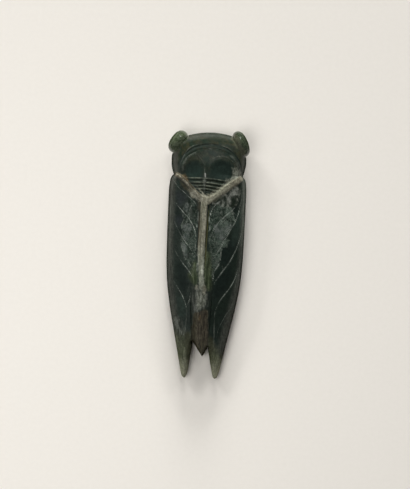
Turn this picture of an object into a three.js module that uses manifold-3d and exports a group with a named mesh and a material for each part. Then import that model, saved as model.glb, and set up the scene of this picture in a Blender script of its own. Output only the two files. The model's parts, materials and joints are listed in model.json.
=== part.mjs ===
// A jade cicada, carved from one pebble as an amulet, lying on its flat belly.
// X runs across the wings, Y along the back towards the head, Z up from the table.
// The head carries two bulging eyes, a collar of two arcs and a shoulder disc with two scooped
// lobes. A raised band in the shape of a Y runs from the shoulders down the back, and the folded
// wings part behind it around the pointed abdomen.
import * as THREE from "three";
import { mergeVertices } from "three/addons/utils/BufferGeometryUtils.js";
import Module from "manifold-3d";

const wasm = await Module();
wasm.setup();

// Driving dimensions, in millimetres
const LENGTH = 70; // front of the eyes to the wing tips
const WING_SPAN = 21.7; // across both folded wings
const EYE_SPAN = 22.6; // across both eyes
const THICKNESS = 10; // belly to the top of the raised band on the back

// Rounding of the outline's edge, in plan, in millimetres
const WING_EDGE_ROUND = 1.2;
const HEAD_EDGE_ROUND = 2.4;

// Eyes: half sizes of one ellipsoid, in millimetres, and how it leans
const EYE_HALF_LENGTH = 3.7;
const EYE_HALF_WIDTH = 2.2;
const EYE_HALF_HEIGHT = 2.5;
const EYE_LEAN_DEG = 35.5; // outwards from the long axis of the body
const HEAD_TURN_DEG = 1.5; // the head sits turned a little to the left
const EYE_LEVEL = 0.48; // height of their middle, as a share of the body's

// Raised work on the back, in millimetres
const BAND_RISE = 0.4;
const BAND_SINK = 0.9; // how far a raised strip is let into the body
const STEM_WIDTH = 2.05;
const LEFT_ARM_WIDTH = 1.4;
const RIGHT_ARM_WIDTH = 1.9;
const KEEL_WIDTH = 0.9;
const KEEL_RISE = 0.35;
const FORK_WIDTH = 0.6;
const ABDOMEN_CROWN = 0.6; // how far the abdomen stands above the wings beside it

// Cut work, in millimetres
const COLLAR_CUT_WIDTH = 0.9;
const COLLAR_CUT_DEPTH = 0.42;
const RING_CUT_WIDTH = 0.62;
const RING_CUT_DEPTH = 0.34;
const VEIN_WIDTH = 0.42;
const VEIN_DEPTH = 0.2;
const BORDER_WIDTH = 0.55;
const BORDER_DEPTH = 0.28; // of the line between the abdomen and each wing
const LOBE_DEPTH = 0.42;
const BELLY_CUT_WIDTH = 0.7;
const BELLY_CUT_DEPTH = 0.35;

// Places and proportions are shares, so the pose keeps when the size changes. A station along the
// body is in hundredths of the length, counted from the middle towards the head. A place across it
// is in shares of half the wing span. A height is in shares of the body's own height, which leaves
// room for the raised band.
const along = (station) => (station / 100) * LENGTH;
const across = (share) => (share * WING_SPAN) / 2;
const up = (share) => share * (THICKNESS - BAND_RISE);

// A smooth curve through [station, value] points, which never swings past them.
function curve(points) {
  const rise = points.slice(1).map(([s, v], i) => (v - points[i][1]) / (s - points[i][0]));
  const tangents = points.map((_, i) => {
    if (i === 0) return rise[0];
    if (i === rise.length) return rise[i - 1];
    return rise[i - 1] * rise[i] <= 0 ? 0 : 2 / (1 / rise[i - 1] + 1 / rise[i]);
  });
  return (station) => {
    const s = THREE.MathUtils.clamp(station, points[0][0], points.at(-1)[0]);
    const i = Math.max(0, points.findIndex(([at]) => s <= at) - 1);
    const [from, low] = points[i];
    const [to, high] = points[i + 1];
    const span = to - from;
    const t = (s - from) / span;
    return (
      low * (1 + 2 * t) * (1 - t) ** 2 +
      high * t * t * (3 - 2 * t) +
      span * (tangents[i] * t * (1 - t) ** 2 - tangents[i + 1] * t * t * (1 - t))
    );
  };
}

// Stations that several pieces share
const FRONT = 48.6; // middle of the head's front edge
const NOTCH = 31.4; // where the cheek meets the wing's shoulder
const BROW = 44.3; // where the front of the head starts to drop
const VERTEX = 21.4; // where the arms of the Y meet
const RUMP = -29; // where the abdomen starts to narrow
const CROTCH = -36.1; // where the wings leave the abdomen's sides
const TAIL = -50; // the wing tips

// The outline: half the width of the head and of the folded wings
const headWidth = curve([
  [NOTCH, 0.889], [32.6, 0.917], [34.3, 0.945], [36.4, 0.963], [38.6, 0.963], [43, 0.912], [46, 0.86],
]);
const wingWidth = curve([
  [TAIL, 0.396], [-49.4, 0.447], [-47.7, 0.489], [-42.9, 0.557], [-31.4, 0.712], [-20, 0.862],
  [-10, 0.954], [0, 0.988], [17, 0.998], [24.3, 1], [28.9, 0.977], [30.4, 0.946], [NOTCH, 0.889],
]);
const halfWidth = (station) => (station > NOTCH ? headWidth : wingWidth)(station);

// The line down the back, which this carver let wander to the left, and half the width between the
// two inner lines: the stem's sides, the abdomen's sides, then the wings' inner edges.
const spine = curve([
  [TAIL, 0], [-36, -0.016], [-25.7, -0.034], [-14.3, -0.041], [-8.6, -0.069], [0, -0.075],
  [VERTEX, -0.072], [28.6, -0.083], [34.3, -0.095], [40, -0.06], [FRONT, 0],
]);
const innerWidth = curve([
  [TAIL, 0.396], [-49.4, 0.352], [-47.1, 0.309], [-41.4, 0.25], [CROTCH, 0.207], [-25.7, 0.24],
  [-17, 0.263], [-13, 0.263], [-8.6, 0.221], [-4.3, 0.157], [0, 0.103], [VERTEX, 0.103],
  [31, 0.2], [FRONT, 0.3],
]);
const ABDOMEN_TIP = [0.044, -41.2];

// Heights along the body: the crest, the top of the rim, its middle, its foot and the belly
const crest = curve([
  [TAIL, 0.31], [-41, 0.45], [CROTCH, 0.51], [-21, 0.71], [-7, 0.86], [7, 0.94], [VERTEX, 1],
  [29, 1], [34, 0.97], [40, 0.85], [44, 0.74], [46, 0.65], [FRONT, 0.52],
]);
const rimTop = curve([
  [TAIL, 0.27], [-40, 0.33], [-28.6, 0.39], [-14, 0.46], [0, 0.5], [14, 0.54], [29, 0.6],
  [36, 0.64], [43, 0.62], [FRONT, 0.5],
]);
const rimMiddle = curve([
  [TAIL, 0.17], [-40, 0.19], [-28.6, 0.24], [-14, 0.3], [0, 0.34], [14, 0.36], [29, 0.38],
  [36, 0.37], [FRONT, 0.35],
]);
const rimFoot = curve([
  [TAIL, 0.08], [-40, 0.09], [-28.6, 0.13], [-14, 0.18], [0, 0.21], [14, 0.22], [29, 0.19],
  [36, 0.12], [FRONT, 0.14],
]);
const belly = curve([[TAIL, 0.06], [-43, 0.02], [-38, -0.03], [38, -0.03], [44, 0.02], [FRONT, 0.1]]);
// How the back falls from the crest: near 1 like a roof, over 2 like a dome
const roofPower = curve([[TAIL, 1.4], [18, 1.5], [31, 2.1], [FRONT, 2.4]]);
const edgeRound = (station) =>
  THREE.MathUtils.lerp(WING_EDGE_ROUND, HEAD_EDGE_ROUND, THREE.MathUtils.smoothstep(station, 29, 36));

// The rows of the surface bow round the head's front and lean with the head, and at the crotch they
// slant, because the wings leave the abdomen further back on its right side.
const frontBow = curve([[28, 0], [FRONT, 3]]);
const HEAD_LEAN = Math.tan(THREE.MathUtils.degToRad(HEAD_TURN_DEG));
const headShare = curve([[NOTCH, 0], [38, 1], [FRONT, 1]]);
const CROTCH_SLANT = 1.05;
const crotchSlant = curve([[-46, 0], [CROTCH, CROTCH_SLANT], [-26, 0]]);

// Numbers of rows and columns in the surface
const FRONT_ROWS = 5;
const THORAX_ROWS = 13;
const BACK_ROWS = 13;
const CROTCH_ROWS = 6;
const WING_TIP_ROWS = 7;
const ABDOMEN_TIP_ROWS = 4;
const WING_COLUMNS = 8;
const RIM_CROWDING = 1.7; // how much the wing's columns crowd towards its rim
const CENTRE_COLUMNS = 6;

// Stations from one to another; an ease over 1 crowds them at the start, under 1 at the end.
const stations = (from, to, count, ease = 1) =>
  Array.from({ length: count }, (_, i) => {
    const t = (i + 1) / count;
    return from + (to - from) * (ease < 1 ? 1 - (1 - t) ** (1 / ease) : t ** ease);
  });

// One point of a row: side is -1 at the left edge, 1 at the right, and slant how much the crotch
// slants the row there.
function planPoint(row, x, slant) {
  const side = x / halfWidth(row - frontBow(row));
  const lean = (HEAD_LEAN * headShare(row) * across(x) * 100) / LENGTH;
  return [across(x), along(row - frontBow(row) * side * side + lean + crotchSlant(row) * slant)];
}

// The three patches of the plan, each a list of rows of points: the left wing, the middle and the
// right wing, all from the head's front back to their tips.
function planPatches() {
  const shared = [
    FRONT,
    ...stations(FRONT, BROW, FRONT_ROWS, 2),
    ...stations(BROW, VERTEX, THORAX_ROWS),
    ...stations(VERTEX, RUMP, BACK_ROWS),
    ...stations(RUMP, CROTCH, CROTCH_ROWS, 0.55),
  ];
  const wingRows = [...shared, ...stations(CROTCH, TAIL, WING_TIP_ROWS, 0.6)];
  const wing = (side) =>
    wingRows.map((row) => {
      const outer = side * halfWidth(row - frontBow(row));
      const inner = spine(row) + side * innerWidth(row);
      const points = Array.from({ length: WING_COLUMNS + 1 }, (_, i) => {
        const t = (i / WING_COLUMNS) ** RIM_CROWDING;
        return planPoint(row, outer + (inner - outer) * t, -side * t);
      });
      return side < 0 ? points : points.reverse();
    });
  const middle = shared.map((row) =>
    Array.from({ length: CENTRE_COLUMNS + 1 }, (_, i) => {
      const side = (2 * i) / CENTRE_COLUMNS - 1;
      return planPoint(row, spine(row) + side * innerWidth(row), -side);
    }),
  );
  const tip = [across(ABDOMEN_TIP[0]), along(ABDOMEN_TIP[1])];
  const last = middle.at(-1);
  for (const t of stations(0, 1, ABDOMEN_TIP_ROWS))
    middle.push(last.map(([x, y]) => [x + (tip[0] - x) * t, y + (tip[1] - y) * t]));
  return { left: wing(-1), middle, right: wing(1), sharedRows: shared.length };
}

const plan = planPatches();

// The outline as pairs of neighbouring points: the front, both sides and the edges at the tail.
function outlineEdges() {
  const { left, middle, right, sharedRows } = plan;
  const chain = (points) => points.slice(1).map((point, i) => [points[i], point]);
  const column = (patch, place, from) => patch.slice(from).map((row) => row.at(place));
  return [
    ...chain([...left[0], ...middle[0].slice(1), ...right[0].slice(1)]),
    ...chain(column(left, 0, 0)),
    ...chain(column(right, -1, 0)),
    ...chain(column(left, -1, sharedRows - 1)),
    ...chain(column(right, 0, sharedRows - 1)),
    ...chain(column(middle, 0, sharedRows - 1)),
    ...chain(column(middle, -1, sharedRows - 1)),
  ];
}

const outline = outlineEdges();

// Distance in plan from a point to the outline
function inset(x, y) {
  let nearest = Infinity;
  for (const [[ax, ay], [bx, by]] of outline) {
    const [dx, dy] = [bx - ax, by - ay];
    const length2 = dx * dx + dy * dy;
    const t = length2 ? THREE.MathUtils.clamp(((x - ax) * dx + (y - ay) * dy) / length2, 0, 1) : 0;
    nearest = Math.min(nearest, Math.hypot(x - ax - t * dx, y - ay - t * dy));
  }
  return nearest;
}

// The share of the full height that is left after the edge's rounding
function edgeShare(x, y, station) {
  const t = Math.min(1, inset(x, y) / edgeRound(station));
  return Math.sqrt(1 - (1 - t) ** 2);
}

// Side is 0 on the spine and 1 on the outline, at either side.
function sideShare(x, station) {
  const middle = across(spine(station));
  const edge = across(halfWidth(station));
  return Math.min(1, x < middle ? (middle - x) / (middle + edge) : (x - middle) / (edge - middle));
}

// Extra height of the abdomen, an arched back that comes up between the wings
function abdomenCrown(x, station) {
  const side = (x - across(spine(station))) / across(innerWidth(station));
  const grown = THREE.MathUtils.smoothstep(-station, 0, 13);
  return Math.abs(side) < 1 ? ABDOMEN_CROWN * grown * (1 - side * side) : 0;
}

function topSurface(x, y) {
  const station = (y / LENGTH) * 100;
  const fall = sideShare(x, station) ** roofPower(station);
  const full = up(THREE.MathUtils.lerp(crest(station), rimTop(station), fall));
  const middle = up(rimMiddle(station));
  return middle + (full + abdomenCrown(x, station) - middle) * edgeShare(x, y, station);
}

function bottomSurface(x, y) {
  const station = (y / LENGTH) * 100;
  const rise = sideShare(x, station) ** 2;
  const full = up(THREE.MathUtils.lerp(belly(station), rimFoot(station), rise));
  const middle = up(rimMiddle(station));
  return middle - (middle - full) * edgeShare(x, y, station);
}

// The skin underneath, which is ground flat where it would come below the table
const underside = (x, y) => Math.max(0, bottomSurface(x, y));

// A closed solid from loose triangles, each three [x, y, z] points, facing out.
function solidFrom(triangles) {
  const loose = new THREE.BufferGeometry();
  loose.setAttribute("position", new THREE.Float32BufferAttribute(triangles.flat(2), 3));
  return solidOf(loose);
}

function solidOf(geometry) {
  geometry.deleteAttribute("normal");
  geometry.deleteAttribute("uv");
  const merged = mergeVertices(geometry, 1e-4);
  const corners = [];
  for (let i = 0; i < merged.index.count; i += 3) {
    const [a, b, c] = [0, 1, 2].map((k) => merged.index.getX(i + k));
    if (a !== b && b !== c && c !== a) corners.push(a, b, c);
  }
  return new wasm.Manifold(
    new wasm.Mesh({
      numProp: 3,
      vertProperties: merged.attributes.position.array,
      triVerts: new Uint32Array(corners),
    }),
  );
}

// Both skins of the body over the plan. They meet in one line along the outline.
function body() {
  const triangles = [];
  const { left, middle, right, sharedRows } = plan;
  const addPatch = (patch, rimLeft, rimRight) => {
    const onRim = (row, column) =>
      row === 0 ||
      (column === 0 && row >= rimLeft) ||
      (column === patch[row].length - 1 && row >= rimRight);
    const heights = (surface) =>
      patch.map((points, row) =>
        points.map(([x, y], column) => {
          const edge = up(rimMiddle((y / LENGTH) * 100));
          return [x, y, onRim(row, column) ? edge : surface(x, y)];
        }),
      );
    const [top, bottom] = [heights(topSurface), heights(bottomSurface)];
    for (let row = 1; row < patch.length; row++)
      for (let column = 1; column < patch[row].length; column++) {
        const quad = (skin) => [
          skin[row - 1][column - 1],
          skin[row][column - 1],
          skin[row][column],
          skin[row - 1][column],
        ];
        const [a, b, c, d] = quad(top);
        triangles.push([a, b, c], [a, c, d]);
        const [e, f, g, h] = quad(bottom);
        triangles.push([e, g, f], [e, h, g]);
      }
  };
  addPatch(left, 0, sharedRows - 1);
  addPatch(middle, sharedRows - 1, sharedRows - 1);
  addPatch(right, sharedRows - 1, 0);
  return solidFrom(triangles);
}

// A strip that follows a path over a skin of the body. Each point of its section is [sideways, rise]
// in millimetres, in the order that runs clockwise for someone who looks along the path.
function strip(path, steps, surface, section) {
  const line = new THREE.SplineCurve(
    path.map(([x, station]) => new THREE.Vector2(across(x), along(station))),
  );
  const rings = Array.from({ length: steps + 1 }, (_, i) => {
    const at = line.getPoint(i / steps);
    const way = line.getTangent(i / steps);
    return section(i / steps).map(([sideways, rise]) => {
      const [x, y] = [at.x + way.y * sideways, at.y - way.x * sideways];
      return [x, y, surface(x, y) + rise];
    });
  });
  const triangles = [];
  const sides = rings[0].length;
  for (let i = 1; i <= steps; i++)
    for (let k = 0; k < sides; k++) {
      const [a, b] = [rings[i - 1][k], rings[i - 1][(k + 1) % sides]];
      const [c, d] = [rings[i][(k + 1) % sides], rings[i][k]];
      triangles.push([a, b, c], [a, c, d]);
    }
  for (let k = 2; k < sides; k++) {
    triangles.push([rings[0][0], rings[0][k], rings[0][k - 1]]);
    triangles.push([rings[steps][0], rings[steps][k - 1], rings[steps][k]]);
  }
  return solidFrom(triangles);
}

// A raised band with sloping sides and a flat top. The ends give the share of its width and rise
// that it keeps at its start and at its end.
const band = (path, steps, width, rise, ends = [1, 1]) =>
  strip(path, steps, topSurface, (t) => {
    const share = Math.min(1, ends[0] + 4 * t, ends[1] + 4 * (1 - t));
    const half = (share * width) / 2;
    return [
      [-half, -BAND_SINK],
      [-half * 0.8, share * rise],
      [half * 0.8, share * rise],
      [half, -BAND_SINK],
    ];
  });

// A cutter for a groove with a V section, which thins out towards both ends like a drawn stroke.
// Its sides run on above the skin, so that it opens the groove cleanly on a rounded place.
const RUN_ON = 2; // in depths of the groove
const STROKE_END = 0.35; // the share of the groove's size that is left at its ends
function groove(path, steps, width, depth, surface = topSurface) {
  const outwards = surface === topSurface ? 1 : -1;
  return strip(path, steps, surface, (t) => {
    const cut = outwards * Math.min(1, STROKE_END + 2.6 * Math.min(t, 1 - t));
    const half = (cut * width * (1 + RUN_ON)) / 2;
    return [
      [-half, cut * depth * RUN_ON],
      [half, cut * depth * RUN_ON],
      [0, -cut * depth],
    ];
  });
}

// Part of an ellipse across the shoulders, from one angle to another in degrees
const SHOULDER_CENTRE = [0.037, 33.6];
const arc = (halfAcross, halfAlong, fromDeg, toDeg, points = 12) =>
  Array.from({ length: points + 1 }, (_, i) => {
    const angle = THREE.MathUtils.degToRad(fromDeg + ((toDeg - fromDeg) * i) / points);
    return [
      SHOULDER_CENTRE[0] + halfAcross * Math.cos(angle),
      SHOULDER_CENTRE[1] + halfAlong * Math.sin(angle),
    ];
  });

// The arms of the Y, from the notches to the vertex
const LEFT_ARM = [[-0.86, 31.1], [-0.737, 30.3], [-0.576, 28.4], [-0.424, 26.1], [-0.22, 22.9], [-0.08, 21]];
const RIGHT_ARM = [[0.865, 31], [0.774, 30], [0.627, 28.5], [0.304, 24.9], [0.11, 22.8], [-0.06, 21.1]];
const STEM = [22, 15, 8, 0, -6, -12].map((station) => [spine(station), station]);

// An eye at the corner of the head, just inside the length and the span across the eyes
function eye(side) {
  const [turn, lean] = [HEAD_TURN_DEG, EYE_LEAN_DEG].map(THREE.MathUtils.degToRad);
  const angle = side * lean + turn;
  const reachAcross = Math.hypot(EYE_HALF_WIDTH * Math.cos(angle), EYE_HALF_LENGTH * Math.sin(angle));
  const reachAlong = Math.hypot(EYE_HALF_LENGTH * Math.cos(angle), EYE_HALF_WIDTH * Math.sin(angle));
  const x = side * (EYE_SPAN / 2 - reachAcross);
  const setBack = side < 0 ? (EYE_SPAN - 2 * reachAcross) * Math.tan(turn) : 0;
  const ball = new THREE.SphereGeometry(1, 18, 10);
  ball.scale(EYE_HALF_WIDTH, EYE_HALF_LENGTH, EYE_HALF_HEIGHT);
  ball.rotateZ(angle);
  ball.translate(x, LENGTH / 2 - reachAlong - setBack, up(EYE_LEVEL));
  return solidOf(ball);
}

// A shallow round hollow, cut by an ellipsoid that dips into the back
function lobe([x, station], halfAcross, halfAlong) {
  const height = 2 * LOBE_DEPTH + 1;
  const lift = height - LOBE_DEPTH;
  const footprint = Math.sqrt(1 - (lift / height) ** 2);
  const ball = new THREE.SphereGeometry(1, 20, 14);
  ball.scale(across(halfAcross) / footprint, along(halfAlong) / footprint, height);
  const [px, py] = [across(x), along(station)];
  ball.translate(px, py, topSurface(px, py) + lift);
  return solidOf(ball);
}

// The double line of the collar
const collarCuts = () => [
  groove(arc(0.79, 10.3, -12, 192, 16), 26, COLLAR_CUT_WIDTH, COLLAR_CUT_DEPTH),
  groove(arc(0.725, 8.5, -6, 186, 16), 24, COLLAR_CUT_WIDTH * 0.8, COLLAR_CUT_DEPTH * 0.7),
];

// The two polished hollows of the shoulder disc
const lobeCuts = () => [
  lobe([-0.38, 33.2], 0.24, 3.4),
  lobe([0.32, 33.4], 0.28, 3.8),
];

// The grooves between the rings of the back, each reaching from arm to arm
const RINGS = [[28.9, -0.6, 0.62], [27.3, -0.48, 0.48], [25.85, -0.38, 0.34], [24.6, -0.28, 0.22]];
const ringCuts = () =>
  RINGS.map(([station, from, to]) => {
    const path = [[from, station - 0.4], [(from + to) / 2, station], [to, station - 0.6]];
    return groove(path, 8, RING_CUT_WIDTH, RING_CUT_DEPTH);
  });

// The keel between the lobes, with its fork towards the head
const KEEL = [[-0.095, 36.6], [-0.095, 33], [-0.085, 28], [-0.075, 22.5]];
const LEFT_FORK = [[-0.1, 35.4], [-0.15, 37.6], [-0.26, 39.8]];
const RIGHT_FORK = [[-0.085, 35.4], [-0.03, 37.4], [0.08, 39.2]];
const keelBands = () => [
  band(KEEL, 12, KEEL_WIDTH, KEEL_RISE, [0.5, 0.3]),
  band(LEFT_FORK, 5, FORK_WIDTH, KEEL_RISE, [1, 0.1]),
  band(RIGHT_FORK, 5, FORK_WIDTH, KEEL_RISE, [1, 0.1]),
];

// The veins of each wing, from its outer margin in to the back
const VEINS = [
  [[-0.93, 29.3], [-0.72, 25.8], [-0.455, 22.6], [-0.29, 19.6], [-0.225, 15.9], [-0.245, 10.5]],
  [[-0.73, 18.8], [-0.48, 14.3], [-0.3, 10.4], [-0.245, 5.5], [-0.26, 1.8]],
  [[-0.86, 14.3], [-0.7, 8.8], [-0.45, 3.7], [-0.3, 0.2], [-0.27, -3.4]],
  [[-0.77, 1.1], [-0.62, -2.8], [-0.4, -6.8], [-0.33, -10.2]],
  [[-0.745, -11.8], [-0.59, -15.5], [-0.44, -19.6], [-0.39, -25.2], [-0.41, -32]],
  [[0.5, 23], [0.3, 20.6], [0.15, 18], [0.09, 14.1], [0.085, 8.9]],
  [[0.83, 21.1], [0.62, 17.3], [0.35, 13.5], [0.165, 9.7], [0.085, 4.5]],
  [[0.915, 25.5], [0.82, 17.4], [0.7, 11.3], [0.51, 6.2], [0.305, 1], [0.17, -4.3]],
  [[0.93, 17.5], [0.87, 6.2], [0.735, 0.1], [0.57, -4.6], [0.335, -9.3], [0.25, -13.1]],
  [[0.93, 0.3], [0.84, -8.3], [0.635, -14.4], [0.415, -19.2], [0.305, -23.3], [0.32, -30.3], [0.35, -36.3]],
  [[0.83, -16.3], [0.7, -22.4], [0.5, -27], [0.395, -31.9], [0.39, -35.1]],
];
// Veins stop short of the wing's rounded rim.
const onWing = ([x, station]) => {
  const most = halfWidth(station) - (2 * (WING_EDGE_ROUND + VEIN_WIDTH / 2)) / WING_SPAN;
  return [THREE.MathUtils.clamp(x, -most, most), station];
};
const veinCuts = () =>
  VEINS.map((path) => groove(path.map(onWing), path.length + 2, VEIN_WIDTH, VEIN_DEPTH));

// The line on each side where the wing lies over the abdomen
const borderCuts = () =>
  [-1, 1].map((side) => {
    const end = CROTCH - side * CROTCH_SLANT + 1.2;
    const path = [-4, -12, -20, -28, end].map((at) => [spine(at) + side * innerWidth(at), at]);
    return groove(path, 8, BORDER_WIDTH, BORDER_DEPTH);
  });

// The plain carving underneath: the abdomen's rings, its sides, the beak and three pairs of legs
function bellyCuts() {
  const cut = (path, steps) => groove(path, steps, BELLY_CUT_WIDTH, BELLY_CUT_DEPTH, underside);
  const rings = [10, 2, -6, -14, -22, -30].map((station) => {
    const reach = 0.9 * innerWidth(Math.min(station, -13));
    return cut([[-reach, station + 1], [0, station], [reach, station + 1]], 4);
  });
  const sides = [-1, 1].map((side) =>
    cut([[side * 0.36, 17], [side * 0.33, 0], [side * 0.29, -18], [side * 0.25, -34]], 8),
  );
  const legs = [[38, 32], [33, 27], [28, 21]].flatMap(([top, foot]) =>
    [-1, 1].map((side) => {
      const knee = [side * 0.42, (top + foot) / 2 + 1.5];
      return cut([[side * 0.12, top], knee, [side * 0.6, foot]], 5);
    }),
  );
  const beak = [-1, 1].map((side) => cut([[side * 0.22, 45], [side * 0.12, 41], [side * 0.03, 36]], 5));
  return [...rings, ...sides, ...legs, ...beak];
}

// The whole cicada: the body is cut, the raised work and the eyes are added, then the underside is
// carved and ground flat where it lies on the table.
function carve() {
  const cuts = [...collarCuts(), ...lobeCuts(), ...ringCuts(), ...veinCuts(), ...borderCuts()];
  const carved = wasm.Manifold.difference([body(), ...cuts]);
  const raised = [
    ...keelBands(),
    band(LEFT_ARM, 10, LEFT_ARM_WIDTH, BAND_RISE),
    band(RIGHT_ARM, 12, RIGHT_ARM_WIDTH, BAND_RISE),
    band(STEM, 10, STEM_WIDTH, BAND_RISE, [0.5, 0.3]),
    eye(-1),
    eye(1),
  ];
  const table = new THREE.BoxGeometry(2 * LENGTH, 2 * LENGTH, THICKNESS);
  table.translate(0, 0, -THICKNESS / 2);
  const whole = wasm.Manifold.union([carved, ...raised]);
  return wasm.Manifold.difference([whole, ...bellyCuts(), solidOf(table)]);
}

// The finished solid as a geometry, with its origin under the middle of its box, on the table
function geometryOf(solid) {
  const made = solid.getMesh();
  const geometry = new THREE.BufferGeometry();
  geometry.setAttribute("position", new THREE.BufferAttribute(made.vertProperties, made.numProp));
  geometry.setIndex(new THREE.BufferAttribute(made.triVerts, 1));
  geometry.computeBoundingBox();
  const { min, max } = geometry.boundingBox;
  geometry.translate(-(min.x + max.x) / 2, -(min.y + max.y) / 2, -min.z);
  geometry.computeVertexNormals();
  return geometry;
}

const jade = new THREE.MeshStandardMaterial({ color: 0x2b332d, roughness: 0.35, metalness: 0 });
const cicada = new THREE.Mesh(geometryOf(carve()), jade);
cicada.name = "cicada";

const part = new THREE.Group();
part.add(cicada);

export default part;
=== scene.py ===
# %% [markdown]
# # A carved jade cicada
#
# A carver cut this amulet from one dark green pebble. It is flat underneath, low and rounded on
# the back, and everything on it is one piece of stone: the two eyes, the collar, the band in the
# shape of a Y and the folded wings. So it becomes one closed mesh here too. The lesson starts with
# the solid model of the same object, because every size is read from it and nothing is moved.

import json
import math

import bmesh
import bpy
import numpy as np
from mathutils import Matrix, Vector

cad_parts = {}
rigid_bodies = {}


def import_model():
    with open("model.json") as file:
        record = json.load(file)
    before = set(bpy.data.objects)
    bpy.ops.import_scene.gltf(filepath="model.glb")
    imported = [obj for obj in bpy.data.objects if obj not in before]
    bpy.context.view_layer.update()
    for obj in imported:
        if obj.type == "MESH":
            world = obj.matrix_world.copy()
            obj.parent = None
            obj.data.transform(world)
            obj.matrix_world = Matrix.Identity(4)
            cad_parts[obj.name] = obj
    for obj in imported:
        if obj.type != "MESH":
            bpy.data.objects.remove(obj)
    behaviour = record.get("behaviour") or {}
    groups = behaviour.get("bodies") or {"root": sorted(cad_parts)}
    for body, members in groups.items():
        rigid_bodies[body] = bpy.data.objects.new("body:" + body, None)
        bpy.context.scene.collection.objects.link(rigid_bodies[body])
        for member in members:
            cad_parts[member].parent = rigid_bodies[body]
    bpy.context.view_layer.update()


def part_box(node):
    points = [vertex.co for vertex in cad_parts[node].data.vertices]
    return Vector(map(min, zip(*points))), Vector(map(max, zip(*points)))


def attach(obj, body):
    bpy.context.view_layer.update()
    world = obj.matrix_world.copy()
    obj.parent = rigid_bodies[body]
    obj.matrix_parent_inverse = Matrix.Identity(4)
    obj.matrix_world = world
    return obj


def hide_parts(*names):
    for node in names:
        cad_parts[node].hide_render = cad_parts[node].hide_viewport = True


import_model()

MM = 0.001  # one millimetre in metres
low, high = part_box("cicada")
LENGTH = (high[1] - low[1]) / MM
EYE_SPAN = (high[0] - low[0]) / MM
THICKNESS = (high[2] - low[2]) / MM
WINGS_ACROSS, EYES_ACROSS = 21.7, 22.6  # the two widths of the solid model
WING_SPAN = EYE_SPAN * WINGS_ACROSS / EYES_ACROSS
print(f"solid: {EYE_SPAN:.2f} x {LENGTH:.2f} x {THICKNESS:.2f} mm")

# %% [markdown]
# ## The camera
#
# The amulet was photographed from straight above, turned a little to the left in the frame. The
# camera looks down along Z, so only its turn about Z and the width of its view matter. The lens
# follows from the two lengths that can be measured: how much paper the picture shows and how high
# the camera stands. A long distance keeps the perspective as weak as it is in the photograph.

# %% Put the camera above the back
CAMERA_HEIGHT = 0.35
PICTURE_HEIGHT = 0.1365  # paper that shows from the top to the bottom of the picture
BACK_LEVEL = 0.004  # the height at which that is measured
PICTURE_CENTRE = (-0.00007, 0.00267)
PICTURE_TURN_DEG = 2.55


def placed(name, data):
    """A new object in the scene."""
    made = bpy.data.objects.new(name, data)
    bpy.context.scene.collection.objects.link(made)
    return made


lens = bpy.data.cameras.new("camera_above")
lens.sensor_fit = "VERTICAL"
lens.sensor_height = 24
lens.lens = lens.sensor_height * (CAMERA_HEIGHT - BACK_LEVEL) / PICTURE_HEIGHT
lens.clip_start = 0.01
camera = placed("camera_above", lens)
camera.location = (*PICTURE_CENTRE, CAMERA_HEIGHT)
camera.rotation_euler = (0, 0, math.radians(PICTURE_TURN_DEG))
bpy.context.scene.camera = camera
print(f"lens {lens.lens:.1f} mm")

# %% [markdown]
# ## The light
#
# Most light comes through windows beyond the head: a low one, a high one and one on either side.
# The broad shoulders shade the paper on both sides of the narrowing tail, which is the only shadow
# in the picture. A lamp above, a little to the left, makes that side of the paper the brightest. A
# polished dark stone shows every bright thing round it as a grey veil, which the photograph doesn't
# have, so these light the scene without being mirrored. One small lamp is mirrored: it leaves the
# little spot on each eye.

# %% Light the paper
WINDOW = (0.6, 0.3)
# where each lamp stands, its width and height, its power in watts and whether the stone mirrors it
LAMPS = {
    "high_window_beyond_the_head": ((0.0, 2.19, 0.98), WINDOW, 16.0, False),
    "low_window_beyond_the_head": ((0.0, 2.36, 0.42), WINDOW, 70.0, False),
    "window_to_the_left": ((-1.29, 1.85, 0.82), WINDOW, 18.0, False),
    "window_to_the_right": ((1.29, 1.85, 0.82), WINDOW, 8.0, False),
    "lamp_above": ((-0.12, -0.06, 0.25), (0.2, 0.2), 0.35, False),
    "spot_for_the_eyes": ((0.1, 0.52, 0.58), (0.09, 0.09), 0.52, True),
}
DAYLIGHT = (1.0, 0.985, 0.96, 1)
DAYLIGHT_STRENGTH = 0.11


def area_lamp(name, place, size, power, mirrored):
    """A rectangular lamp that faces the middle of the object."""
    data = bpy.data.lights.new(name, "AREA")
    data.shape = "RECTANGLE"
    data.size, data.size_y = size
    data.energy = power
    lamp = placed(name, data)
    lamp.location = place
    x, y, z = place
    lamp.rotation_euler = (math.atan2(math.hypot(x, y), z), 0, math.atan2(y, x) + math.pi / 2)
    lamp.visible_glossy = mirrored
    lamp.visible_camera = False


for name, facts in LAMPS.items():
    area_lamp(name, *facts)

room = bpy.data.worlds.new("room")
room.use_nodes = True
background = room.node_tree.nodes["Background"].inputs
background["Color"].default_value = DAYLIGHT
background["Strength"].default_value = DAYLIGHT_STRENGTH
bpy.context.scene.world = room
bpy.context.scene.view_settings.view_transform = "Standard"
print(f"lamps: {len(LAMPS)}, {sum(facts[2] for facts in LAMPS.values()):.2f} W")

# %% [markdown]
# ## Expressions that make nodes
#
# Both the carving and the finish of the stone are worked out by node trees. A long tree is hard to
# read as a list of nodes and links, so one small class wraps the output of a node and lets Python's
# own signs add the Math nodes: `1 - mask * 0.5` is then two nodes.

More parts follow.
